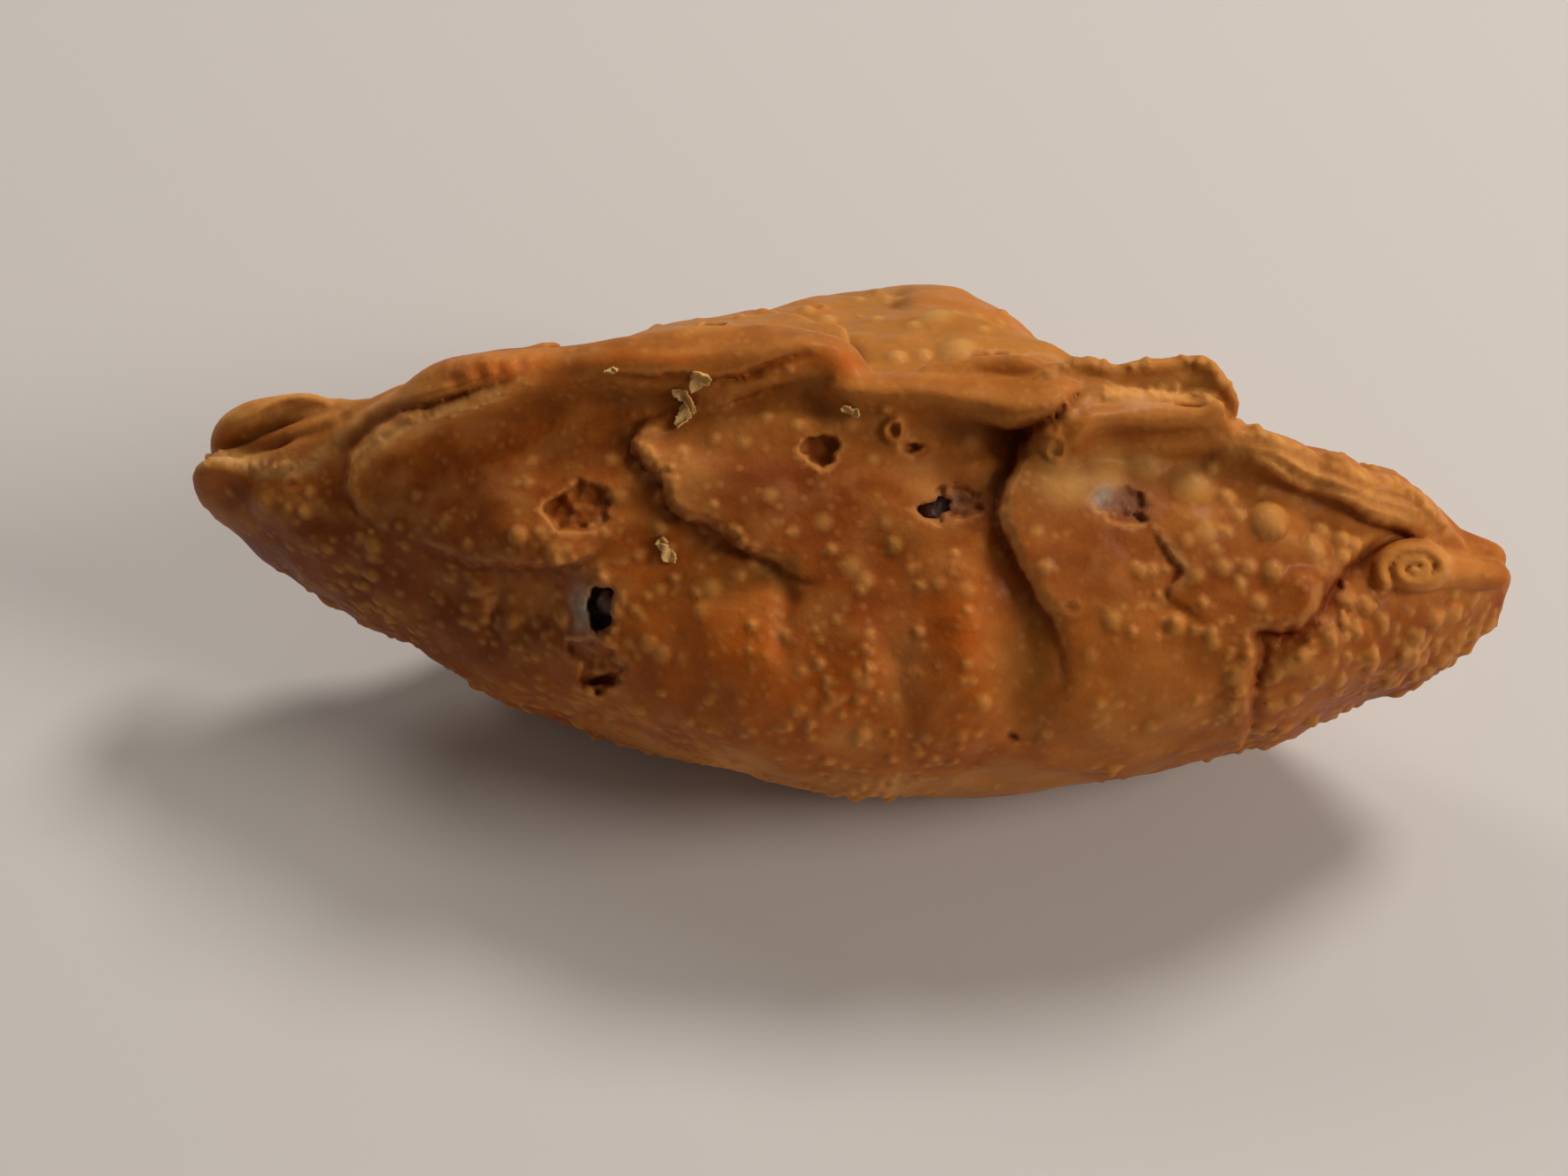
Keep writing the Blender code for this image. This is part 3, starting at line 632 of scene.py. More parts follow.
# The flank behind, drawn as somebody standing there would see it: a guess in the front's manner
behind = {
    "folds": {
        "farPleat": {"lip": 8.0, "edge": 1.2, "line": [
            (470, 530, 0.0), (440, 550, 1.4), (452, 585, 2.0), (500, 620, 2.0), (560, 640, 2.0),
            (625, 645, 1.6), (680, 630, 0.8), (720, 600, 0.0)]},
        "heartPleat": {"lip": 8.0, "edge": 1.2, "line": [
            (704, 530, 0.0), (676, 548, 1.4), (684, 575, 2.5), (730, 610, 2.4), (800, 650, 2.0),
            (870, 670, 1.2), (940, 670, 0.0)]},
        "nearPleat": {"lip": 8.0, "edge": 1.4, "line": [
            (1000, 540, 0.0), (968, 555, 1.4), (966, 585, 2.6), (992, 620, 2.3), (1040, 680, 1.6),
            (1080, 730, 0.6), (1100, 770, 0.0)]},
        "tipPleat": {"lip": 7.0, "edge": 1.2, "line": [
            (1330, 500, 0.0), (1296, 545, 1.6), (1302, 600, 2.0), (1335, 645, 1.5), (1380, 680, 0.6),
            (1420, 700, 0.0)]},
    },
    "ridges": {
        "belly": {"wide": 1.4, "line": [
            (900, 700, -0.1), (912, 750, -0.8), (905, 800, -0.5), (900, 840, 0.0)]},
    },
    "swells": {
        "farCrown": (560, 570, 9.0, 5.0, 0.9, 10),
        "heartCrown": (820, 560, 10.0, 7.0, 1.2, 5),
        "nearCrown": (1120, 570, 9.0, 9.0, 1.2, 0),
        "tipCrown": (1400, 590, 6.0, 5.0, 0.8, 20),
        "bellyDent": (900, 760, 6.0, 5.0, -0.9, 0),
        "bellyRise": (760, 760, 6.0, 5.0, 0.8, 0),
    },
    "holes": {
        "shallowBurst": (800, 545, 4.6, 3.6, 1.0, 0.4, 0.2, 0.6, 0.35, 41),
        "ringBurst": (1130, 640, 2.2, 2.0, 0.8, 0.45, 0.12, 0.5, 0.4, 43),
        "smallBurst": (585, 585, 1.6, 1.4, 0.7, 0.35, 0.15, 0.5, 0.4, 44),
    },
    "rings": [(700, 560, 0.9, 0.4), (1240, 590, 0.8, 0.4), (1010, 720, 0.9, 0.4)],
    "strips": [],
    "stains": {
        # painted light: an orange glow through thin dough behind
        "orangeAndGlowLight": [(780, 760, 9.0, 4.0, 0.5), (1080, 740, 6.0, 4.0, 0.4)],
        "olive": [(930, 760, 3.0, 4.0, 0.7), (1250, 620, 4.0, 3.0, 0.4)],
        "ghost": [(1180, 560, 4.0, 2.0, 0.5)],
        "flourAndLight": [(900, 850, 8.0, 1.6, 0.6), (1150, 520, 3.0, 3.0, 0.4)],
        # darker ovals behind: deeper browning and painted shade
        "toastAndShade": [(600, 640, 14.0, 8.0, 0.5), (1350, 640, 12.0, 7.0, 0.6), (950, 800, 14.0, 5.0, 0.4)],
    },
}
paints = ("torn", "pale", "creaseShade", "orangeAndGlowLight", "olive", "ghost", "wet", "flourAndLight", "toastAndShade", "honeyLight", "veil")


def drawFlank(flank):
    relief = np.zeros_like(sheetX)
    masks = {name: np.zeros_like(sheetX) for name in paints}
    for x, y, wide, tall, height, lean in flank["swells"].values():
        relief += height * softOval(x, y, wide, tall, lean)
    for fold in flank["folds"].values():
        drawFold(relief, masks["creaseShade"], fold)
    for ridge in flank["ridges"].values():
        drawRidge(relief, masks["creaseShade"], ridge)
    for hole in flank["holes"].values():
        drawHole(relief, masks, dict(zip(holeNames, hole)))
    for ring in flank["rings"]:
        drawRing(relief, *ring)
    for name, ovals in flank["stains"].items():
        for x, y, wide, tall, amount in ovals:
            masks[name] = np.maximum(masks[name], amount * softOval(x, y, wide, tall))
    for name, wide, line in flank["strips"]:
        window, away, _, amount = nearLine(smoothLine(line), 3.0 * wide)
        patchy = np.clip(0.75 + 2.5 * jagged[window], 0.2, 1.3)
        masks[name][window] = np.maximum(masks[name][window], amount * patchy * bell(away / wide))
    return relief, masks


# The voxels between two corners in mm, as slices and open coordinate arrays
def block(low, high):
    first = np.clip(np.floor(low / voxel).astype(int) - gridStart, 0, gridShape - 1)
    last = np.clip(np.ceil(high / voxel).astype(int) - gridStart + 1, first + 1, gridShape)
    cut = tuple(slice(a, b) for a, b in zip(first, last))
    return cut, np.meshgrid(*(gridAxes[k][cut[k]] for k in range(3)), indexing="ij", sparse=True)


def softUnion(a, b, blend):
    overlap = np.maximum(blend - np.abs(a - b), 0.0) / blend
    return np.minimum(a, b) - overlap ** 2 * blend / 4.0


# Sweep a ball of changing radius along a path; with a depth it becomes an upright sheet of
# dough that hangs that far below the path. carve takes the same shape away.
def addStroke(field, path, radii, deep=None, blend=0.5, carve=False, spare=0.0):
    reach = radii.max() + blend + 2.0 * voxel + spare
    deep = np.zeros(len(path)) if deep is None else deep
    drop = np.array([0.0, 0.0, deep.max()])
    cut, axes = block(path.min(0) - reach - drop, path.max(0) + reach)
    farAway = 9.0
    best = np.full([axes[k].shape[k] for k in range(3)], farAway, np.float32)
    for a, b, ra, rb, da, db in zip(path, path[1:], radii, radii[1:], deep, deep[1:]):
        part, (x, y, z) = block(np.minimum(a, b) - reach - drop, np.maximum(a, b) + reach)
        inner = tuple(slice(p.start - c.start, p.stop - c.start) for p, c in zip(part, cut))
        d = (b - a).astype(np.float32)
        if drop[2] > 0.0:
            along = (x - a[0]) * d[0] + (y - a[1]) * d[1]
            t = unit(along / max(float(d[:2] @ d[:2]), 1e-9))
            line = a[2] + t * d[2]
            level = np.maximum(z - line, 0.0) + np.maximum(line - da - t * (db - da) - z, 0.0)
        else:
            along = (x - a[0]) * d[0] + (y - a[1]) * d[1] + (z - a[2]) * d[2]
            t = unit(along / max(float(d @ d), 1e-9))
            level = z - a[2] - t * d[2]
        away = np.sqrt((x - a[0] - t * d[0]) ** 2 + (y - a[1] - t * d[1]) ** 2 + level ** 2)
        best[inner] = np.minimum(best[inner], away - (ra + (rb - ra) * t))
    if carve:
        field[cut] = -softUnion(-field[cut], best, blend)
    else:
        field[cut] = softUnion(field[cut], best, blend)


# The seam stands up as sheets of dough: the outline of their top in the shot, half thickness in mm
# and how far behind the middle of the seam they stand. deep is how far they reach down.
ropeSheets = {
    "wall": {"deep": 10.0, "blend": 1.6, "line": [
        (404, 476, 1.1, -0.8), (428, 455, 1.3, -0.6), (455, 440, 1.4, -0.4), (486, 418, 1.5, -0.2),
        (515, 405, 1.6, 0.0), (560, 399, 1.6, 0.3), (600, 397, 1.7, 0.6), (640, 394, 1.8, 0.9),
        (680, 389, 1.9, 1.2), (720, 385, 2.0, 1.6), (760, 382, 2.1, 2.1), (800, 380, 2.1, 2.7),
        (850, 378, 2.1, 3.2), (896, 377, 2.0, 3.4), (928, 381, 1.9, 3.1), (948, 390, 1.8, 2.5),
        (960, 404, 1.7, 1.6), (972, 418, 1.7, 0.8), (990, 423, 1.7, 0.5), (1050, 424, 1.8, 0.4),
        (1100, 427, 1.8, 0.4), (1150, 430, 1.8, 0.4), (1200, 434, 1.7, 0.4), (1240, 440, 1.6, 0.4),
        (1290, 444, 1.5, 0.6), (1340, 450, 1.4, 0.8), (1370, 464, 1.4, 0.6), (1390, 480, 1.5, 0.2),
        (1420, 486, 1.6, 0.0), (1450, 496, 1.7, 0.0), (1477, 513, 1.7, 0.0), (1509, 512, 1.7, 0.0),
        (1534, 533, 1.7, 0.0), (1557, 534, 1.7, 0.0), (1599, 556, 1.7, 0.0), (1626, 596, 1.6, 0.0),
        (1649, 610, 1.5, 0.0), (1680, 628, 1.3, 0.0), (1694, 642, 1.0, 0.0)]},
    "lipFront": {"deep": 6.0, "blend": 0.7, "line": [
        (228, 532, 0.7, -1.9), (234, 522, 0.8, -1.9), (247, 517, 0.9, -1.9), (262, 518, 0.9, -1.9),
        (280, 522, 0.95, -1.9), (304, 527, 1.0, -1.9), (322, 526, 1.0, -1.8), (336, 522, 1.0, -1.7),
        (352, 514, 1.0, -1.6), (368, 506, 1.0, -1.5), (381, 497, 1.0, -1.4), (392, 484, 1.1, -1.2),
        (404, 472, 1.2, -1.0), (418, 462, 1.3, -0.8)]},
    "rollBack": {"deep": 8.0, "blend": 0.7, "line": [
        (252, 512, 1.0, 1.2), (250, 498, 1.2, 1.7), (253, 483, 1.4, 2.1), (260, 471, 1.6, 2.3),
        (270, 461, 1.8, 2.3), (282, 455, 1.9, 2.3), (300, 450, 1.9, 2.3), (325, 445, 1.8, 2.2),
        (345, 444, 1.7, 2.1), (362, 448, 1.5, 1.9), (378, 457, 1.3, 1.6), (396, 462, 1.2, 1.0)]},
    "strandBehind": {"deep": 9.0, "blend": 0.8, "line": [
        (1050, 415, 0.6, 2.0), (1088, 411, 0.75, 2.4), (1117, 406, 0.8, 2.8), (1150, 406, 0.8, 2.8),
        (1184, 414, 0.8, 2.5), (1215, 424, 0.8, 1.8), (1245, 434, 0.7, 1.0)]},
    "flapBack": {"deep": 12.0, "blend": 0.8, "line": [
        (1190, 420, 0.7, 2.2), (1205, 412, 0.8, 2.6), (1224, 405, 0.8, 3.0), (1240, 408, 0.75, 3.0),
        (1262, 415, 0.75, 2.8), (1280, 409, 0.75, 3.2), (1300, 405, 0.7, 3.6), (1322, 405, 0.7, 3.9),
        (1348, 403, 0.7, 4.3), (1362, 407, 0.65, 4.0), (1370, 418, 0.65, 3.2)]},
    "flapTip": {"deep": 1.6, "blend": 0.6, "line": [
        (1356, 404, 0.6, 4.0), (1368, 412, 0.6, 3.5), (1379, 424, 0.6, 2.8), (1388, 437, 0.55, 2.2),
        (1393, 449, 0.4, 1.9)]},
    "flapShelf": {"deep": 5.0, "blend": 0.8, "line": [
        (1196, 428, 0.8, 2.0), (1240, 424, 0.9, 2.3), (1290, 421, 0.9, 2.9), (1330, 419, 0.9, 3.2),
        (1358, 420, 0.8, 3.2), (1368, 430, 0.6, 2.6)]},
    "flapMiddle": {"deep": 4.0, "blend": 0.5, "line": [
        (1226, 443, 1.3, 1.1), (1256, 438, 1.5, 1.5), (1290, 435, 1.6, 2.0), (1320, 434, 1.6, 2.3),
        (1348, 434, 1.4, 2.3), (1366, 442, 1.0, 1.8)]},
    "flapLow": {"deep": 3.0, "blend": 0.8, "line": [
        (1216, 462, 1.1, -1.0), (1240, 460, 1.1, -0.9), (1262, 460, 1.1, -0.8), (1300, 463, 1.1, -0.6),
        (1335, 462, 1.1, -0.4), (1358, 458, 1.0, 0.0), (1374, 452, 0.7, 0.4)]},
}

# Slots between those sheets, in the same terms
ropeSlots = {
    "curlTrough": {"deep": 0.6, "blend": 0.9, "line": [
        (250, 506, 0.8, 0.0), (270, 500, 1.2, 0.0), (295, 492, 1.5, 0.0), (320, 484, 1.5, 0.0),
        (345, 477, 1.3, 0.0), (368, 470, 0.9, 0.0), (386, 464, 0.5, 0.0)]},
    "rollHollow": {"deep": 0.3, "blend": 0.6, "line": [
        (300, 470, 0.5, 1.2), (325, 462, 0.9, 1.3), (350, 458, 1.0, 1.3), (372, 460, 0.7, 1.1)]},
    "flapGap": {"deep": 0.9, "blend": 0.3, "line": [
        (1216, 436, 0.1, 2.0), (1246, 433, 0.2, 2.5), (1290, 428, 0.25, 3.1), (1325, 425, 0.25, 3.4),
        (1352, 424, 0.2, 3.4), (1366, 432, 0.1, 2.8)]},
    "flapInner": {"deep": 1.6, "blend": 0.4, "line": [
        (1262, 453, 0.15, 0.2), (1300, 453, 0.25, 0.3), (1340, 452, 0.25, 0.5), (1362, 453, 0.15, 0.6)]},
}

# A thin tongue of dough inside the trough of the curl
curlTongue = {"deep": 3.5, "blend": 0.5, "line": [
    (247, 511, 0.5, -0.3), (262, 506, 0.55, -0.1), (285, 498, 0.6, 0.1), (305, 490, 0.65, 0.2),
    (330, 481, 0.7, 0.3), (356, 474, 0.8, 0.3), (380, 466, 0.8, 0.3)]}


def addSheet(field, piece, carve=False, spare=0.0):
    line = smoothLine(piece["line"], 4)
    drop = 0.0 if carve else line[:, 2] / pxSize
    spots = onUpright(line[:, 0], line[:, 1] + drop, line[:, 3])
    halfHeight = (foldHeight(spots[:, 0]) + seamTop(spots[:, 0])) / 2.0
    deep = np.clip(spots[:, 2] - halfHeight, 0.5, piece["deep"])    # no sheet hangs out under a tip
    addStroke(field, spots, line[:, 2], deep, piece["blend"], carve, spare)


def layRope(field):
    for piece in ropeSheets.values():
        addSheet(field, piece, spare=2.5)
    for piece in ropeSlots.values():
        addSheet(field, piece, carve=True, spare=2.5)
    addSheet(field, curlTongue, spare=2.5)


# The rolled end: centre and half sizes in pixels, how often it goes round and from what angle, how
# much smaller it ends, then mm; closed is how much thicker it gets below its face
rolledEnd = {"at": (1598, 642), "wide": 42, "tall": 28, "turns": 1.95, "from": 2.6, "shrink": 0.88,
             "thick": 0.6, "deep": 5.0, "lean": -5.6, "layer": 0.8, "closed": 1.6, "coreDeep": 2.8}


def layRolledEnd(field):
    r = rolledEnd
    turn = np.linspace(0.0, 2.0 * np.pi * r["turns"], 80)
    shrink = 1.0 - r["shrink"] * (turn / turn[-1]) ** 0.9
    x = r["at"][0] + r["wide"] * shrink * np.cos(turn + r["from"])
    y = r["at"][1] + r["tall"] * shrink * np.sin(turn + r["from"])
    centre = onUpright(np.array([r["at"][0]]), np.array([r["at"][1]]), r["lean"])[0]
    ray = shotRay(x, y)
    face = eye + ray * (((centre - eye) @ -shotBack) / (ray @ -shotBack))[:, None]
    for step in np.arange(0.0, r["deep"], r["layer"]):
        swell = r["closed"] if step > 0.0 else 1.0
        addStroke(field, face + ray * (step - 1.0), r["thick"] * swell * (0.85 + 0.15 * shrink), blend=0.25)
    core = centre + shotRay(*r["at"]) * r["coreDeep"]
    addStroke(field, np.array([core, core + (8.0, 2.0, -3.0)]), np.array([2.0, 1.3]), blend=0.8)


# Behind, rope folds run up over the seam, where the front's can't be seen, all but where the bulge
# shows bare. Sizes in mm: they start this far behind the seam's middle and below its top.
backRope = {"count": 11, "from": -56.0, "to": 46.0, "bare": (-14.0, 20.0), "lastX": 61.5, "run": 17.0,
            "radius": 1.5, "behind": 4.6, "inward": 2.6, "below": 3.6, "climb": 5.6, "sunk": 0.4}


# y of the middle of the standing seam
def ropeY(x):
    line = np.array(ropeSheets["wall"]["line"])
    spots = onUpright(line[:, 0], line[:, 1], line[:, 3])
    return np.interp(x, spots[:, 0], spots[:, 1])


def layBackRope(field):
    b = backRope
    dice = np.random.default_rng(77)
    t = np.linspace(0.0, 1.0, 14)
    for k in range(b["count"]):
        start = b["from"] + (b["to"] - b["from"]) * k / (b["count"] - 1)
        if b["bare"][0] < start < b["bare"][1]:
            continue
        run = b["run"] * dice.uniform(0.85, 1.2)
        x = np.clip(start + run * t, -b["lastX"], b["lastX"])
        y = ropeY(x) + b["behind"] - b["inward"] * t
        z = seamTop(x) - b["below"] + b["climb"] * t
        spots = np.stack([x, y, z], -1)
        spots -= outward(field, spots) * readField(field, spots)[:, None]
        radii = b["radius"] * dice.uniform(0.85, 1.15) * (0.5 + 0.5 * np.sin(np.pi * t) ** 0.5)
        addStroke(field, spots - outward(field, spots) * b["sunk"], radii)


# Bubbles that can be told apart: x, y and width in pixels, height as a share of the width
namedBubbles = {
    "backBelly": [(934, 361, 18, 0.3), (969, 338, 12, 0.35), (911, 350, 14, 0.3), (1002, 338, 16, 0.25),
                  (1014, 339, 14, 0.25), (989, 360, 14, 0.3), (1031, 368, 16, 0.3), (1012, 404, 22, 0.35),
                  (1042, 402, 18, 0.35), (1080, 396, 38, 0.22), (1056, 358, 34, 0.16),
                  (1110, 372, 12, 0.3)],
    "rightPleat": [(1206, 469, 18, 0.38), (1171, 491, 11, 0.4), (1188, 503, 25, 0.28), (1200, 545, 60, 0.10),
                   (1250, 530, 48, 0.13), (1292, 524, 36, 0.18), (1345, 546, 44, 0.16),
                   (1384, 562, 22, 0.38), (1366, 529, 15, 0.35), (1398, 582, 15, 0.4),
                   (1431, 588, 42, 0.36), (1456, 609, 18, 0.4), (1482, 621, 27, 0.36), (1490, 598, 20, 0.4),
                   (1514, 608, 19, 0.42), (1530, 616, 17, 0.42), (1517, 629, 16, 0.42),
                   (1490, 646, 17, 0.4), (1437, 646, 24, 0.38), (1410, 640, 16, 0.35), (1380, 640, 20, 0.3),
                   (1360, 600, 24, 0.22), (1255, 700, 20, 0.28), (1230, 680, 16, 0.32),
                   (1180, 640, 16, 0.3), (1170, 600, 14, 0.3), (1340, 610, 16, 0.3), (1385, 600, 12, 0.35),
                   (1400, 660, 14, 0.35), (1350, 650, 16, 0.3), (1420, 680, 18, 0.3), (1445, 690, 20, 0.3)],
    "rightEnd": [(1519, 676, 22, 0.42), (1541, 684, 22, 0.42), (1560, 700, 18, 0.42), (1500, 720, 20, 0.42),
                 (1470, 740, 18, 0.42), (1620, 700, 22, 0.42), (1600, 720, 20, 0.42), (1640, 690, 18, 0.42),
                 (1585, 745, 22, 0.42), (1545, 740, 18, 0.42), (1510, 770, 20, 0.42), (1460, 790, 20, 0.42),
                 (1440, 760, 16, 0.4), (1450, 822, 18, 0.4), (1480, 812, 20, 0.42), (1530, 712, 16, 0.42),
                 (1570, 770, 18, 0.42), (1610, 757, 18, 0.42), (1640, 730, 20, 0.42),
                 (1665, 712, 18, 0.42)],
    "middlePleat": [(770, 508, 14, 0.3), (806, 496, 12, 0.3), (840, 500, 14, 0.25), (865, 470, 12, 0.3),
                    (900, 480, 12, 0.25), (960, 480, 14, 0.25), (985, 520, 12, 0.3), (870, 560, 16, 0.2),
                    (930, 590, 18, 0.2), (1000, 590, 14, 0.25), (895, 600, 12, 0.3), (1096, 500, 20, 0.2),
                    (976, 655, 18, 0.28), (945, 700, 12, 0.3), (960, 640, 22, 0.2)],
    "leftPleat": [(470, 560, 12, 0.25), (505, 585, 12, 0.25), (585, 545, 12, 0.3), (600, 520, 10, 0.3),
                  (610, 600, 12, 0.3), (560, 600, 12, 0.25), (700, 560, 16, 0.25), (690, 520, 12, 0.25),
                  (640, 620, 12, 0.3), (596, 545, 12, 0.3)],
    "leftEnd": [(300, 570, 14, 0.3), (345, 580, 12, 0.3), (260, 555, 12, 0.3), (370, 620, 14, 0.3),
                (410, 660, 18, 0.35), (350, 555, 12, 0.3), (420, 628, 16, 0.3)],
    "belly": [(790, 690, 16, 0.25), (770, 745, 14, 0.3), (800, 790, 14, 0.3), (900, 800, 14, 0.3),
              (1110, 795, 18, 0.35), (1085, 830, 16, 0.35), (1240, 795, 16, 0.3), (1300, 820, 18, 0.25),
              (1180, 830, 14, 0.3), (1060, 660, 12, 0.3), (1230, 740, 16, 0.25), (1350, 790, 16, 0.3)],
}

# Where small bubbles crowd in front: x, y and reach in pixels, how many more there are
bubbleCrowds = {
    "rightEnd": (1500, 740, 120, 6.0),
    "rightPleat": (1430, 610, 95, 4.5),
    "lowerLeft": (590, 750, 170, 2.2),
    "leftUnder": (400, 650, 100, 1.8),
    "keelLeft": (820, 850, 170, 1.6),
    "keel": (1000, 890, 120, 2.2),
    "foam": (776, 535, 36, 7.0),
    "farRight": (1640, 700, 70, 6.0),
}


# The voxels nearer than reach to the skin of a field, and their places in mm
def nearSkin(field, reach):
    i, j, k = np.nonzero(np.abs(field) < reach)
    return (i, j, k), np.stack([gridAxes[0][i], gridAxes[1][j], gridAxes[2][k]], -1)


# Seeded spots on the skin, more of them where the weight is high
def skinSpots(field, count, seed, weightOf):
    dice = np.random.default_rng(seed)
    spots = nearSkin(field, 0.5 * voxel)[1]
    weight = weightOf(spots)
    pick = dice.choice(len(spots), count, replace=False, p=weight / weight.sum())
    chosen = spots[pick] + dice.uniform(-0.5, 0.5, (count, 3)) * voxel
    normal = outward(field, chosen)
    chosen -= normal * readField(field, chosen)[:, None]
    return chosen, normal, dice


# How densely small bubbles stand elsewhere: in front, behind, more of them behind near both ends and
# near the ground, and hardly any on the rope; places and widths in mm
bubbleSpread = {"front": 0.35, "behind": 0.6, "ends": 1.6, "endsAt": 45.0, "endsWide": 14.0,
                "ground": 0.7, "groundHigh": 12.0, "rope": 0.06, "ropeDeep": 3.0}


def crowding(spots):
    b = bubbleSpread
    x, y = toShot(spots)
    inFront = spots[:, 1] < ropeY(spots[:, 0]) + 1.0
    weight = np.full(len(spots), b["front"])
    for cx, cy, reach, more in bubbleCrowds.values():
        weight += inFront * more * np.exp(-((x - cx) ** 2 + (y - cy) ** 2) / reach ** 2)
    nearEnds = bell((np.abs(spots[:, 0]) - b["endsAt"]) / b["endsWide"])
    weight += np.where(inFront, 0.0, b["behind"] + b["ends"] * nearEnds)
    weight += b["ground"] * unit(1.0 - spots[:, 2] / b["groundHigh"])
    weight *= np.clip(1.0 + 0.9 * unevenness(spots.astype(np.float32), 11.0, 5), 0.1, 2.2)
    onRope = spots[:, 2] > seamTop(spots[:, 0]) - b["ropeDeep"]
    return np.where(onRope, weight * b["rope"], weight)


# A bubble is a cap of a ball, wide across, that stands proud of the skin
def addBubble(field, mask, spot, normal, wide, proud, blend, tone=1.0):
    foot = wide / 2.0
    radius = (foot * foot + proud * proud) / (2.0 * proud)
    centre = spot + normal * (proud - radius)
    reach = foot + proud + 0.8
    cut, (x, y, z) = block(spot - reach, spot + reach)
    away = np.sqrt((x - centre[0]) ** 2 + (y - centre[1]) ** 2 + (z - centre[2]) ** 2)
    field[cut] = softUnion(field[cut], away - radius, blend)
    near = (x - spot[0]) ** 2 + (y - spot[1]) ** 2 + (z - spot[2]) ** 2
    mask[cut] = np.maximum(mask[cut], tone * unit(1.2 - near / (foot * foot + 0.1)))


# What named bubbles get of their drawn width and height, and how softly they join on, in mm
bubbleLook = {"wide": 1.1, "proud": 0.8, "blend": 0.3, "smallBlend": 0.18}

# How pale the bubbles of a group are
bubbleTones = {"backBelly": 1.9, "rightPleat": 1.15, "rightEnd": 1.15}

# Bubbles all over: how many, least and greatest width in mm, height as a share of the width, seed
strewnBubbles = [(420, 1.1, 2.2, 0.25, 101), (2000, 0.6, 1.2, 0.3, 102)]


def raiseBubbles(field, mask):
    b = bubbleLook
    for name, group in namedBubbles.items():
        x, y, wide, share = np.array(group).T
        tone = bubbleTones.get(name, 0.9)
        spots = placeInShot(field, x, y)
        for spot, normal, w, s in zip(spots, outward(field, spots), wide * pxSize, share):
            addBubble(field, mask, spot, normal, w * b["wide"], w * s * b["proud"], b["blend"], tone)
    for count, low, high, tall, seed in strewnBubbles:
        count = count
        spots, normals, dice = skinSpots(field, count, seed, crowding)
        size = low + (high - low) * dice.random(count) ** 2.5
        for spot, normal, w, s in zip(spots, normals, size, dice.uniform(0.6, 1.3, count) * tall):
            addBubble(field, mask, spot, normal, w, w * s, b["smallBlend"])


# Where the back flank swells out or in: x, y, z, reach and height in mm
backSwells = [(-19.0, 16.0, 32.0, 9.0, 3.6), (-6.0, 22.0, 31.0, 9.0, 1.6), (4.0, 26.0, 31.0, 9.0, 1.2),
              (21.5, 17.0, 34.0, 6.0, -3.5), (57.0, 2.5, 29.0, 5.0, -1.2)]

# Where crumbs stick: a line in the shot, how many, their radius in mm and their spread in pixels
crumbLines = {
    "flapCrest": {"count": 60, "size": (0.2, 0.5), "line": [
        (1184, 420), (1224, 408), (1260, 416), (1299, 408), (1349, 404), (1374, 420), (1386, 446)]},
    "flapCut": {"count": 60, "size": (0.2, 0.45), "line": [
        (1245, 446), (1290, 441), (1340, 444), (1365, 450)]},
    "wrapRim": {"count": 50, "size": (0.2, 0.4), "line": [
        (395, 530), (425, 500), (480, 474), (540, 455), (600, 430)]},
    "lipEdge": {"count": 60, "size": (0.2, 0.45), "line": [
        (224, 520), (247, 515), (275, 521), (304, 528), (330, 523)]},
    "rightOutline": {"count": 40, "size": (0.25, 0.7), "line": [
        (1402, 484), (1444, 496), (1475, 515), (1509, 515), (1534, 537), (1557, 536), (1599, 558),
        (1626, 590)]},
    "pleatEdge": {"count": 90, "spread": 9.0, "size": (0.3, 0.5), "line": [
        (722, 490), (730, 515), (745, 540), (765, 568), (800, 594), (850, 618)]},
    "keel": {"count": 40, "size": (0.35, 0.6), "line": [
        (700, 828), (780, 855), (850, 872), (930, 890), (1000, 897)]},
    "leftLip": {"count": 20, "size": (0.35, 0.5), "line": [(530, 632), (570, 638), (610, 640), (650, 632)]},
}


def stickCrumbs(field, mask):
    dice = np.random.default_rng(303)
    for crumbs in crumbLines.values():
        line = smoothLine(crumbs["line"], 12)
        count = crumbs["count"]
        pick = line[dice.integers(0, len(line), count)]
        pick = pick + dice.normal(0.0, crumbs.get("spread", 3.5), (count, 2))
        spots = placeInShot(field, pick[:, 0], pick[:, 1])
        spots = spots[np.abs(readField(field, spots)) < 0.4]
        for spot, normal in zip(spots, outward(field, spots)):
            radius = dice.uniform(*crumbs["size"])
            addBubble(field, mask, spot, normal, 2.0 * radius, radius * dice.uniform(0.5, 0.95), 0.12)


# Where the filling comes up to a hole: pixels, how far round it the skin is read, radius in mm; then
# how far under the skin it stays and how deep it goes
fillingPeeks = [(1062, 574, 40, 2.6), (680, 692, 30, 2.4)]
peekUnder, peekDeep = 0.5, 5.0


# Putting the dough together, in mm: the most that the relief adds, the heights over which it and the
# broad waves grow from the ground, over what way the drawing changes from front to back and the relief
# gives way to the rope, and what is left of the dough where the back dips, so far behind the seam
doughShape = {"most": 4.8, "ground": 5.0, "wavesGround": 8.0, "turnOver": 2.0, "ropeOver": 3.0,
              "leftBehind": 1.5, "dipsFrom": 4.0}

# Unevenness of the crust and of the filling: size and wavelength in mm, seed
waveSizes = {"broad": (0.45, 17.0, 1), "middle": (0.18, 5.5, 2), "fine": (0.06, 2.4, 3),
             "lumps": (0.35, 2.6, 55), "grains": (0.12, 1.2, 56)}


def waves(points, name):
    size, wavelength, seed = waveSizes[name]
    return size * unevenness(points, wavelength, seed)


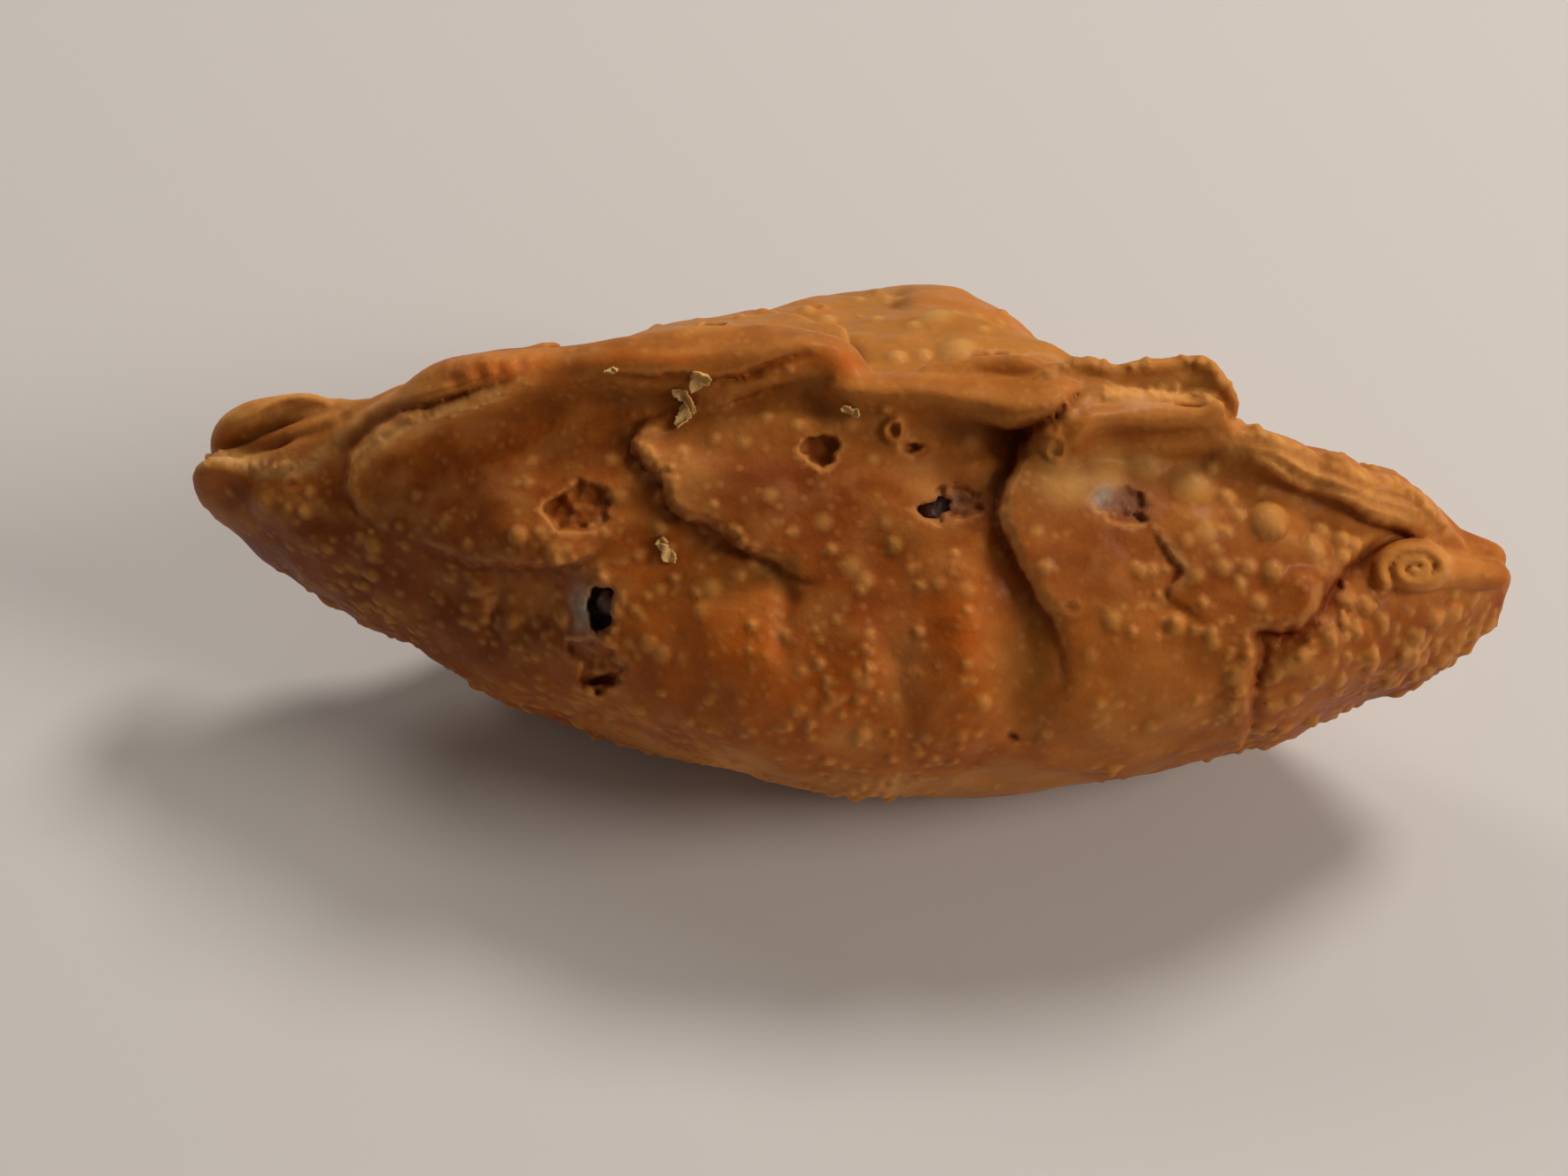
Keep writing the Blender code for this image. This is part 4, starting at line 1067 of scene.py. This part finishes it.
def shapeDough():
    body = pocketField()
    print("pocket", body.shape)
    frontDrawn, behindDrawn = drawFlank(front), drawFlank(behind)
    print("flanks drawn")

    field = body.copy()
    layRope(field)
    print("rope laid")

    band, points = nearSkin(field, bandMm)
    behindShare = unit((points[:, 1] - ropeY(points[:, 0])) / doughShape["turnOver"])
    height = readSheet(frontDrawn[0], *toShot(points)) * (1.0 - behindShare)
    height += readSheet(behindDrawn[0], *toShot(turned(points))) * behindShare
    height *= unit(points[:, 2] / doughShape["ground"]) ** 2
    for x, y, z, reach, proud in backSwells:
        height += proud * np.exp(-((points - (x, y, z)) ** 2).sum(1) / reach ** 2)
    onRope = unit((points[:, 2] - seamTop(points[:, 0])) / doughShape["ropeOver"])
    grown = np.clip(points[:, 2] / doughShape["wavesGround"], 0.1, 1.0)
    height += waves(points, "broad") * grown * (1.0 - onRope)
    height += (waves(points, "middle") + waves(points, "fine")) * (1.0 - 0.5 * onRope)
    field[band] -= np.minimum(height, doughShape["most"])
    print("flanks raised")

    plainSkin = field.copy()
    layBackRope(field)
    layRolledEnd(field)
    print("rolled end laid")

    bubbles = np.zeros(gridShape, np.float32)
    raiseBubbles(field, bubbles)
    stickCrumbs(field, bubbles)
    print("bubbles raised")

    x, z = gridAxes[0][:, None, None], gridAxes[2][None, None, :]
    hollow = np.maximum(body + pocket["dough"], np.abs(x) - (pocket["halfLength"] - pocket["endDough"]))
    offGrid = 0.02      # flat faces stay clear of the voxel layers, where they would skin badly
    hollow = np.maximum(hollow, z - (seamTop(x) - pocket["seamDough"]) - offGrid)
    behindSeam = gridAxes[1][None, :, None] > seamY + doughShape["dipsFrom"]
    hollow = np.where(behindSeam, np.maximum(hollow, plainSkin + doughShape["leftBehind"]), hollow)
    for x0, y0, reach, radius in fillingPeeks:
        turn = np.linspace(0.0, 2.0 * np.pi, 12, endpoint=False)
        spots = placeInShot(plainSkin, x0 + reach * np.cos(turn), y0 + reach * np.sin(turn))
        normal = outward(plainSkin, spots).mean(0)
        inward = -normal / np.linalg.norm(normal)
        near = spots.mean(0) + inward * (peekUnder + radius)
        addStroke(hollow, np.array([near, near + peekDeep * inward]), np.array([radius, radius]), blend=0.6)
    field = np.maximum(np.maximum(field, -hollow), offGrid - z)
    return field, hollow, bubbles, (frontDrawn[1], behindDrawn[1])


# Keep the largest connected part only: closed bubbles inside the dough go
def keepLargest(mesh):
    shape = bmesh.new()
    shape.from_mesh(mesh)
    seen, parts = set(), []
    for start in shape.verts:
        if start in seen:
            continue
        seen.add(start)
        part = [start]
        for vert in part:
            for edge in vert.link_edges:
                other = edge.other_vert(vert)
                if other not in seen:
                    seen.add(other)
                    part.append(other)
        parts.append(part)
    parts.sort(key=len)
    bmesh.ops.delete(shape, geom=[vert for part in parts[:-1] for vert in part], context="VERTS")
    shape.to_mesh(mesh)
    shape.free()


# Skin a field as a mesh and thin it to a number of triangles
def meshOf(name, field, triangles):
    grid = vdb.FloatGrid(1.0)
    grid.copyFromArray(np.ascontiguousarray(np.clip(field, -1.0, 1.0)), ijk=tuple(int(n) for n in gridStart))
    grid.transform = vdb.createLinearTransform(voxel)
    points, quads = grid.convertToQuads(isovalue=0.0)
    mesh = bpy.data.meshes.new(name)
    mesh.vertices.add(len(points))
    mesh.vertices.foreach_set("co", (points * mm).astype(np.float32).ravel())
    mesh.loops.add(quads.size)
    mesh.loops.foreach_set("vertex_index", quads.astype(np.int32).ravel())
    mesh.polygons.add(len(quads))
    mesh.polygons.foreach_set("loop_start", np.arange(0, quads.size, 4, dtype=np.int32))
    mesh.update(calc_edges=True)
    piece = placed(name, mesh)
    thin = piece.modifiers.new("thin", "DECIMATE")
    thin.ratio = min(1.0, triangles / (2.0 * len(quads)))
    thinned = bpy.data.meshes.new_from_object(piece.evaluated_get(bpy.context.evaluated_depsgraph_get()))
    piece.modifiers.clear()
    piece.data = thinned
    bpy.data.meshes.remove(mesh)
    thinned.name = name
    keepLargest(thinned)
    thinned.shade_smooth()
    print(name, len(quads) * 2, "triangles thinned to", len(thinned.polygons))
    return piece


def meshPoints(mesh):
    points = np.empty(len(mesh.vertices) * 3, np.float32)
    mesh.vertices.foreach_get("co", points)
    return points.reshape(-1, 3) / mm


def paintValue(mesh, name, values):
    mesh.attributes.new(name, "FLOAT", "POINT").data.foreach_set("value", values.astype(np.float32))


# sRGB hex to the linear colour a shader takes
def hexColour(code):
    parts = [int(code[k:k + 2], 16) / 255.0 for k in (1, 3, 5)]
    return tuple(c / 12.92 if c <= 0.04045 else ((c + 0.055) / 1.055) ** 2.4 for c in parts) + (1.0,)


# One node with its settings; a link is input: (node, output)
def addNode(tree, kind, settings=None, links=None):
    node = tree.nodes.new(kind)
    for key, value in (settings or {}).items():
        if isinstance(key, str) and hasattr(node, key):
            setattr(node, key, value)
        else:
            node.inputs[key].default_value = value
    for socket, source in (links or {}).items():
        tree.links.new(source[0].outputs[source[1]], node.inputs[socket])
    return node


def newMaterial(name):
    material = bpy.data.materials.new(name)
    material.use_nodes = True
    material.node_tree.nodes.clear()
    tree = material.node_tree
    return material, tree, (addNode(tree, "ShaderNodeTexCoord"), "Object")


def noise(tree, at, sizeMm, detail=3.0, roughness=0.55):
    return addNode(tree, "ShaderNodeTexNoise", {"Scale": 1.0 / (sizeMm * mm), "Detail": detail,
                                                "Roughness": roughness}, {"Vector": at})


def ramp(tree, source, stops):
    node = addNode(tree, "ShaderNodeValToRGB", None, {"Fac": source})
    elements = node.color_ramp.elements
    while len(elements) < len(stops):
        elements.new(0.5)
    for element, (place, code) in zip(elements, stops):
        element.position = place
        element.color = hexColour(code)
    return node, "Color"


def mapRange(tree, source, fromMin, fromMax, toMin=0.0, toMax=1.0):
    limits = {"From Min": fromMin, "From Max": fromMax, "To Min": toMin, "To Max": toMax}
    return addNode(tree, "ShaderNodeMapRange", limits, {"Value": source}), "Result"


# Lay one colour over another, as much as a painted value or a source says
def layOver(tree, under, code, source, amount=1.0):
    share = addNode(tree, "ShaderNodeMath", {"operation": "MULTIPLY", "use_clamp": True, 1: amount},
                    {0: source})
    return addNode(tree, "ShaderNodeMix", {"data_type": "RGBA", 7: hexColour(code)},
                   {0: (share, "Value"), 6: under}), 2


def bump(tree, source, strength, heightMm, after=None):
    links = {"Height": source}
    if after:
        links["Normal"] = (after, "Normal")
    return addNode(tree, "ShaderNodeBump", {"Strength": strength, "Distance": heightMm * mm}, links)


doughLook = {
    "sizes": {"patches": 14.0, "mottle": 2.8, "cells": 1.5, "blotches": 4.0, "pores": 0.5},     # in mm
    "deep": "#883e12",
    "mid": "#a6571c",
    "pale": "#bb722d",
    "spots": "#c88a4c",
    "overs": [  # painted value, colour, amount
        # darker brown: deeper browning and painted shade
        ("toastAndShade", "#682a0a", 0.85),
        # painted light: a pale golden wash
        ("honeyLight", "#c4762e", 0.7),
        ("golden", "#c8873c", 0.6),
        # orange patches, and painted light of a glow through thin dough
        ("orangeAndGlowLight", "#c85a0e", 0.65),
        ("olive", "#785a22", 0.6),
        ("bubble", "#cc924a", 0.5),
        ("ridge", "#cc8c44", 0.4),
        # pale floury crust, and painted light where it lifts shaded places
        ("flourAndLight", "#e8a458", 0.65),
        ("ghost", "#b98c54", 0.7),
        ("veil", "#b0a494", 0.9),
        ("pale", "#dcac6c", 0.6),
        # painted shade in creases and valleys
        ("creaseShade", "#6e2208", 0.7),
        # painted shade on the edges and insides of burst holes
        ("torn", "#703412", 0.7),
        ("wet", "#64463c", 0.85),
    ],
}


def friedDoughMaterial():
    # wheat dough fried in oil: golden, waxy and a little see-through, paler where bubbles stand off
    material, tree, at = newMaterial("friedWheatDough")
    sizes = doughLook["sizes"]
    patches = (noise(tree, at, sizes["patches"], 4.0, 0.6), "Fac")
    mottle = (noise(tree, at, sizes["mottle"], 5.0, 0.65), "Fac")
    half = addNode(tree, "ShaderNodeMath", {"operation": "MULTIPLY", 1: 0.5}, {0: mottle})
    both = addNode(tree, "ShaderNodeMath", {"operation": "MULTIPLY_ADD", 1: 0.5},
                   {0: patches, 2: (half, "Value")})
    colour = ramp(tree, (both, "Value"), [(0.38, doughLook["deep"]), (0.52, doughLook["mid"]),
                                          (0.66, doughLook["pale"])])
    cells = addNode(tree, "ShaderNodeTexVoronoi", {"Scale": 1.0 / (sizes["cells"] * mm)}, {"Vector": at})
    tops = mapRange(tree, (cells, "Distance"), 0.10, 0.34, 1.0, 0.0)
    blotches = mapRange(tree, (noise(tree, at, sizes["blotches"], 3.0, 0.5), "Fac"), 0.52, 0.66)
    for name, code, amount in doughLook["overs"]:
        reading = addNode(tree, "ShaderNodeAttribute", {"attribute_name": name})
        colour = layOver(tree, colour, code, (reading, "Fac"), amount)
    colour = layOver(tree, colour, doughLook["spots"], tops, 0.22)
    colour = layOver(tree, colour, doughLook["spots"], blotches, 0.18)
    cellBump = bump(tree, tops, 0.35, 0.12)
    fineBump = bump(tree, mottle, 0.5, 0.3, cellBump)
    poreBump = bump(tree, (noise(tree, at, sizes["pores"]), "Fac"), 0.4, 0.06, fineBump)
    shader = addNode(tree, "ShaderNodeBsdfPrincipled",
                     {"Subsurface Weight": 0.3, "Subsurface Scale": 1.4 * mm,
                      "Subsurface Radius": (1.0, 0.42, 0.16), "IOR": 1.4,
                      "Specular IOR Level": 0.24, "Specular Tint": hexColour("#ffd0a0"),
                      "Coat Weight": 0.04, "Coat Roughness": 0.16, "Coat IOR": 1.45},
                     {"Base Color": colour, "Roughness": mapRange(tree, mottle, 0.3, 0.7, 0.42, 0.66),
                      "Normal": (poreBump, "Normal")})
    addNode(tree, "ShaderNodeOutputMaterial", None, {"Surface": (shader, "BSDF")})
    return material


def cookedMinceMaterial():
    # minced filling, cooked and wet: grey-brown with a purple cast and sharp wet lights
    material, tree, at = newMaterial("cookedMince")
    lumps = (noise(tree, at, 1.8, 5.0, 0.7), "Fac")
    shader = addNode(tree, "ShaderNodeBsdfPrincipled",
                     {"Roughness": 0.28, "IOR": 1.42, "Subsurface Weight": 0.15, "Subsurface Scale": mm},
                     {"Base Color": ramp(tree, lumps, [(0.3, "#4a2f26"), (0.5, "#84645a"), (0.7, "#b4a094")]),
                      "Normal": (bump(tree, lumps, 0.7, 0.5), "Normal")})
    addNode(tree, "ShaderNodeOutputMaterial", None, {"Surface": (shader, "BSDF")})
    return material


def paperSweepMaterial():
    # plain matt paper
    material, tree, _ = newMaterial("mattPaperSweep")
    shader = addNode(tree, "ShaderNodeBsdfPrincipled", {"Roughness": 0.9, "Base Color": hexColour("#d2cbc5")})
    addNode(tree, "ShaderNodeOutputMaterial", None, {"Surface": (shader, "BSDF")})
    return material


field, hollow, bubbles, masks = shapeDough()

triangles = {"crust": 196000, "filling": 30000}
crust = meshOf("crustSkin", field, triangles["crust"])
points = meshPoints(crust.data)
# The front's paint goes this far behind the rope, and further at the curl of the left tip, in mm
paintReach = {"behindRope": 1.0, "atCurl": 5.0, "curlFrom": -38.0, "curlFade": 4.0}
atCurl = unit((paintReach["curlFrom"] - points[:, 0]) / paintReach["curlFade"])
paintEnd = ropeY(points[:, 0]) + paintReach["behindRope"] + paintReach["atCurl"] * atCurl
inFront = points[:, 1] < paintEnd
for name in paints:
    paintValue(crust.data, name, np.where(inFront, readSheet(masks[0][name], *toShot(points)),
                                          readSheet(masks[1][name], *toShot(turned(points)))))
paintValue(crust.data, "bubble", readField(bubbles, points))
onTop = unit((points[:, 2] - seamTop(points[:, 0]) + 1.0) / 3.0)
onBack = unit((points[:, 1] - ropeY(points[:, 0]) - 1.0) / 3.0)
onBack *= unit(points[:, 2] / 25.0)
paintValue(crust.data, "golden", np.maximum(0.45 * onTop, onBack))
normals = outward(field, points)
curl = readField(field, points + normals * 0.9) + readField(field, points - normals * 0.9)
paintValue(crust.data, "ridge", unit(curl * 2.0))
crust.data.materials.append(friedDoughMaterial())
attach(crust, bodyName)
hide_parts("crust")

stuffing = hollow + pocket["fillingGap"]
band, spots = nearSkin(stuffing, 2.0)
fillingSunk = 0.35
lumps = fillingSunk + waves(spots, "lumps") + waves(spots, "grains")
stuffing[band] += np.maximum(lumps, 0.0)
filling = meshOf("mincedFilling", stuffing, triangles["filling"])
filling.data.materials.append(cookedMinceMaterial())
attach(filling, bodyName)
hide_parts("filling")
print("crust and filling made")

# Loose scraps of fried dough: pixels, half length, half width, curl and thickness in mm, lean in degrees
scraps = {
    "looseFlakes": [
        {"at": (790, 424), "long": 1.35, "wide": 0.85, "curl": 0.7, "thick": 0.3, "lean": 70, "seed": 61},
        {"at": (775, 449), "long": 1.5, "wide": 0.55, "curl": 0.6, "thick": 0.3, "lean": -50, "seed": 62},
        {"at": (771, 472), "long": 1.3, "wide": 0.6, "curl": 0.4, "thick": 0.3, "lean": 80, "seed": 63},
        {"at": (962, 462), "long": 0.9, "wide": 0.45, "curl": 0.3, "thick": 0.3, "lean": -25, "seed": 64},
        {"at": (690, 417), "long": 0.7, "wide": 0.22, "curl": 0.1, "thick": 0.3, "lean": 15, "seed": 65},
    ],
    "looseCrumbs": [
        {"at": (755, 624), "long": 1.1, "wide": 0.55, "curl": 0.1, "thick": 0.7, "lean": -55, "seed": 66},
        {"at": (748, 612), "long": 0.6, "wide": 0.5, "curl": 0.1, "thick": 0.6, "lean": 10, "seed": 67},
    ],
}


# Of every scrap: how ragged and how wavy its edges are, how blunt its ends, and its buckles in mm
scrapLook = {"ragged": 0.5, "wavy": 0.3, "taper": 2.6, "bluntEnd": 0.12, "buckle": 0.15, "rough": 0.12}


# A bent plate with a torn outline: the rim of its top and bottom are joined by side faces
def scrapMesh(spot, normal, scrap):
    look = scrapLook
    dice = np.random.default_rng(scrap["seed"])
    lean = math.radians(scrap["lean"])
    along = shotRight * math.cos(lean) + shotUp * math.sin(lean)
    along -= normal * (along @ normal)
    along /= np.linalg.norm(along)
    across = np.cross(normal, along)
    rows, cols = 25, 11
    t, s = np.meshgrid(np.linspace(-1.0, 1.0, rows), np.linspace(-1.0, 1.0, cols), indexing="ij")
    torn = 1.0 + look["ragged"] * (dice.random((rows, 2)) - 0.5)
    torn += look["wavy"] * np.sin(3.0 * t[:, :2] + dice.uniform(0.0, 6.3, 2))
    narrowing = np.maximum(1.0 - np.abs(t[:, 0]) ** look["taper"], look["bluntEnd"])
    half = scrap["wide"] * narrowing[:, None] * torn
    side = s * np.where(s < 0.0, half[:, :1], half[:, 1:])
    rise = scrap["curl"] * t ** 2 + 0.3 * scrap["curl"] * s ** 2
    rise += look["buckle"] * np.sin(4.0 * t + 2.0 * s + scrap["seed"])
    rise += look["rough"] * (dice.random((rows, cols)) - 0.5)
    top = (spot + t[..., None] * scrap["long"] * along + side[..., None] * across
           + (rise + scrap["thick"])[..., None] * normal).reshape(-1, 3)
    number = np.arange(rows * cols).reshape(rows, cols)
    quads = np.stack([number[:-1, :-1], number[1:, :-1], number[1:, 1:], number[:-1, 1:]], -1).reshape(-1, 4)
    rim = np.concatenate([number[:-1, 0], number[-1, :-1], number[:0:-1, -1], number[0, :0:-1]])
    onward = np.roll(rim, -1)
    sides = np.stack([rim, rim + len(top), onward + len(top), onward], -1)
    corners = np.vstack([top, top - scrap["thick"] * normal])
    return corners, np.vstack([quads, quads[:, ::-1] + len(top), sides])


for name, kind in scraps.items():
    corners, faces, count = [], [], 0
    for scrap in kind:
        spot = placeInShot(field, *np.array([scrap["at"]], float).T)
        some, quads = scrapMesh(spot[0], outward(field, spot, 1.5)[0], scrap)
        corners.append(some)
        faces.append(quads + count)
        count += len(some)
    scrapData = bpy.data.meshes.new(name)
    scrapData.from_pydata((np.vstack(corners) * mm).tolist(), [], np.vstack(faces).tolist())
    scrapData.shade_smooth()
    paintValue(scrapData, "pale", np.full(count, 1.6))
    scrapData.materials.append(crust.data.materials[0])
    piece = placed(name, scrapData)
    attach(piece, bodyName)
    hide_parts("crust")
print("scraps laid")

floorHalf = 3.0
floorMesh = bpy.data.meshes.new("floor")
floorMesh.from_pydata([(-floorHalf, -floorHalf, 0), (floorHalf, -floorHalf, 0), (floorHalf, floorHalf, 0),
                       (-floorHalf, floorHalf, 0)], [], [(0, 1, 2, 3)])
floor = placed("floor", floorMesh)
floorMesh.materials.append(paperSweepMaterial())

# Soft lamps: the strong ones stand behind and to the right, so the shown flank lies in its own shade
lamps = {
    "keyBehind": {"place": (0.36, 0.54, 0.84), "size": 0.30, "power": 5.8, "colour": "#fffdfa"},
    "sideRight": {"place": (0.86, -0.14, 0.60), "size": 0.40, "power": 5.0, "colour": "#fffaf4"},
    "sideLeft": {"place": (-0.60, 0.55, 0.70), "size": 0.35, "power": 1.8, "colour": "#fffcf8"},
    "frontRight": {"place": (0.60, -0.60, 0.60), "size": 0.80, "power": 0.4, "colour": "#fff0e0"},
}
lampsAim = Vector((0.0, 0.0, 0.02))
for name, lamp in lamps.items():
    data = bpy.data.lights.new(name, "AREA")
    data.shape = "DISK"
    data.size = lamp["size"]
    data.energy = lamp["power"]
    data.color = hexColour(lamp["colour"])[:3]
    light = placed(name, data)
    light.location = lamp["place"]
    light.rotation_euler = looking(lampsAim - Vector(lamp["place"]))

sky = {"colour": "#f8f0e6", "strength": 0.13}
world = bpy.data.worlds.new("studio")
bpy.context.scene.world = world
world.use_nodes = True
background = world.node_tree.nodes["Background"]
background.inputs["Color"].default_value = hexColour(sky["colour"])
background.inputs["Strength"].default_value = sky["strength"]
bpy.context.scene.view_settings.view_transform = "Standard"

camera = placed("camera", bpy.data.cameras.new("camera"))
camera.data.lens = shot["lens"]
camera.data.sensor_width = shot["sensor"]
camera.location = Vector(eye * mm)
camera.rotation_euler = looking(-shotBack)
bpy.context.scene.camera = camera
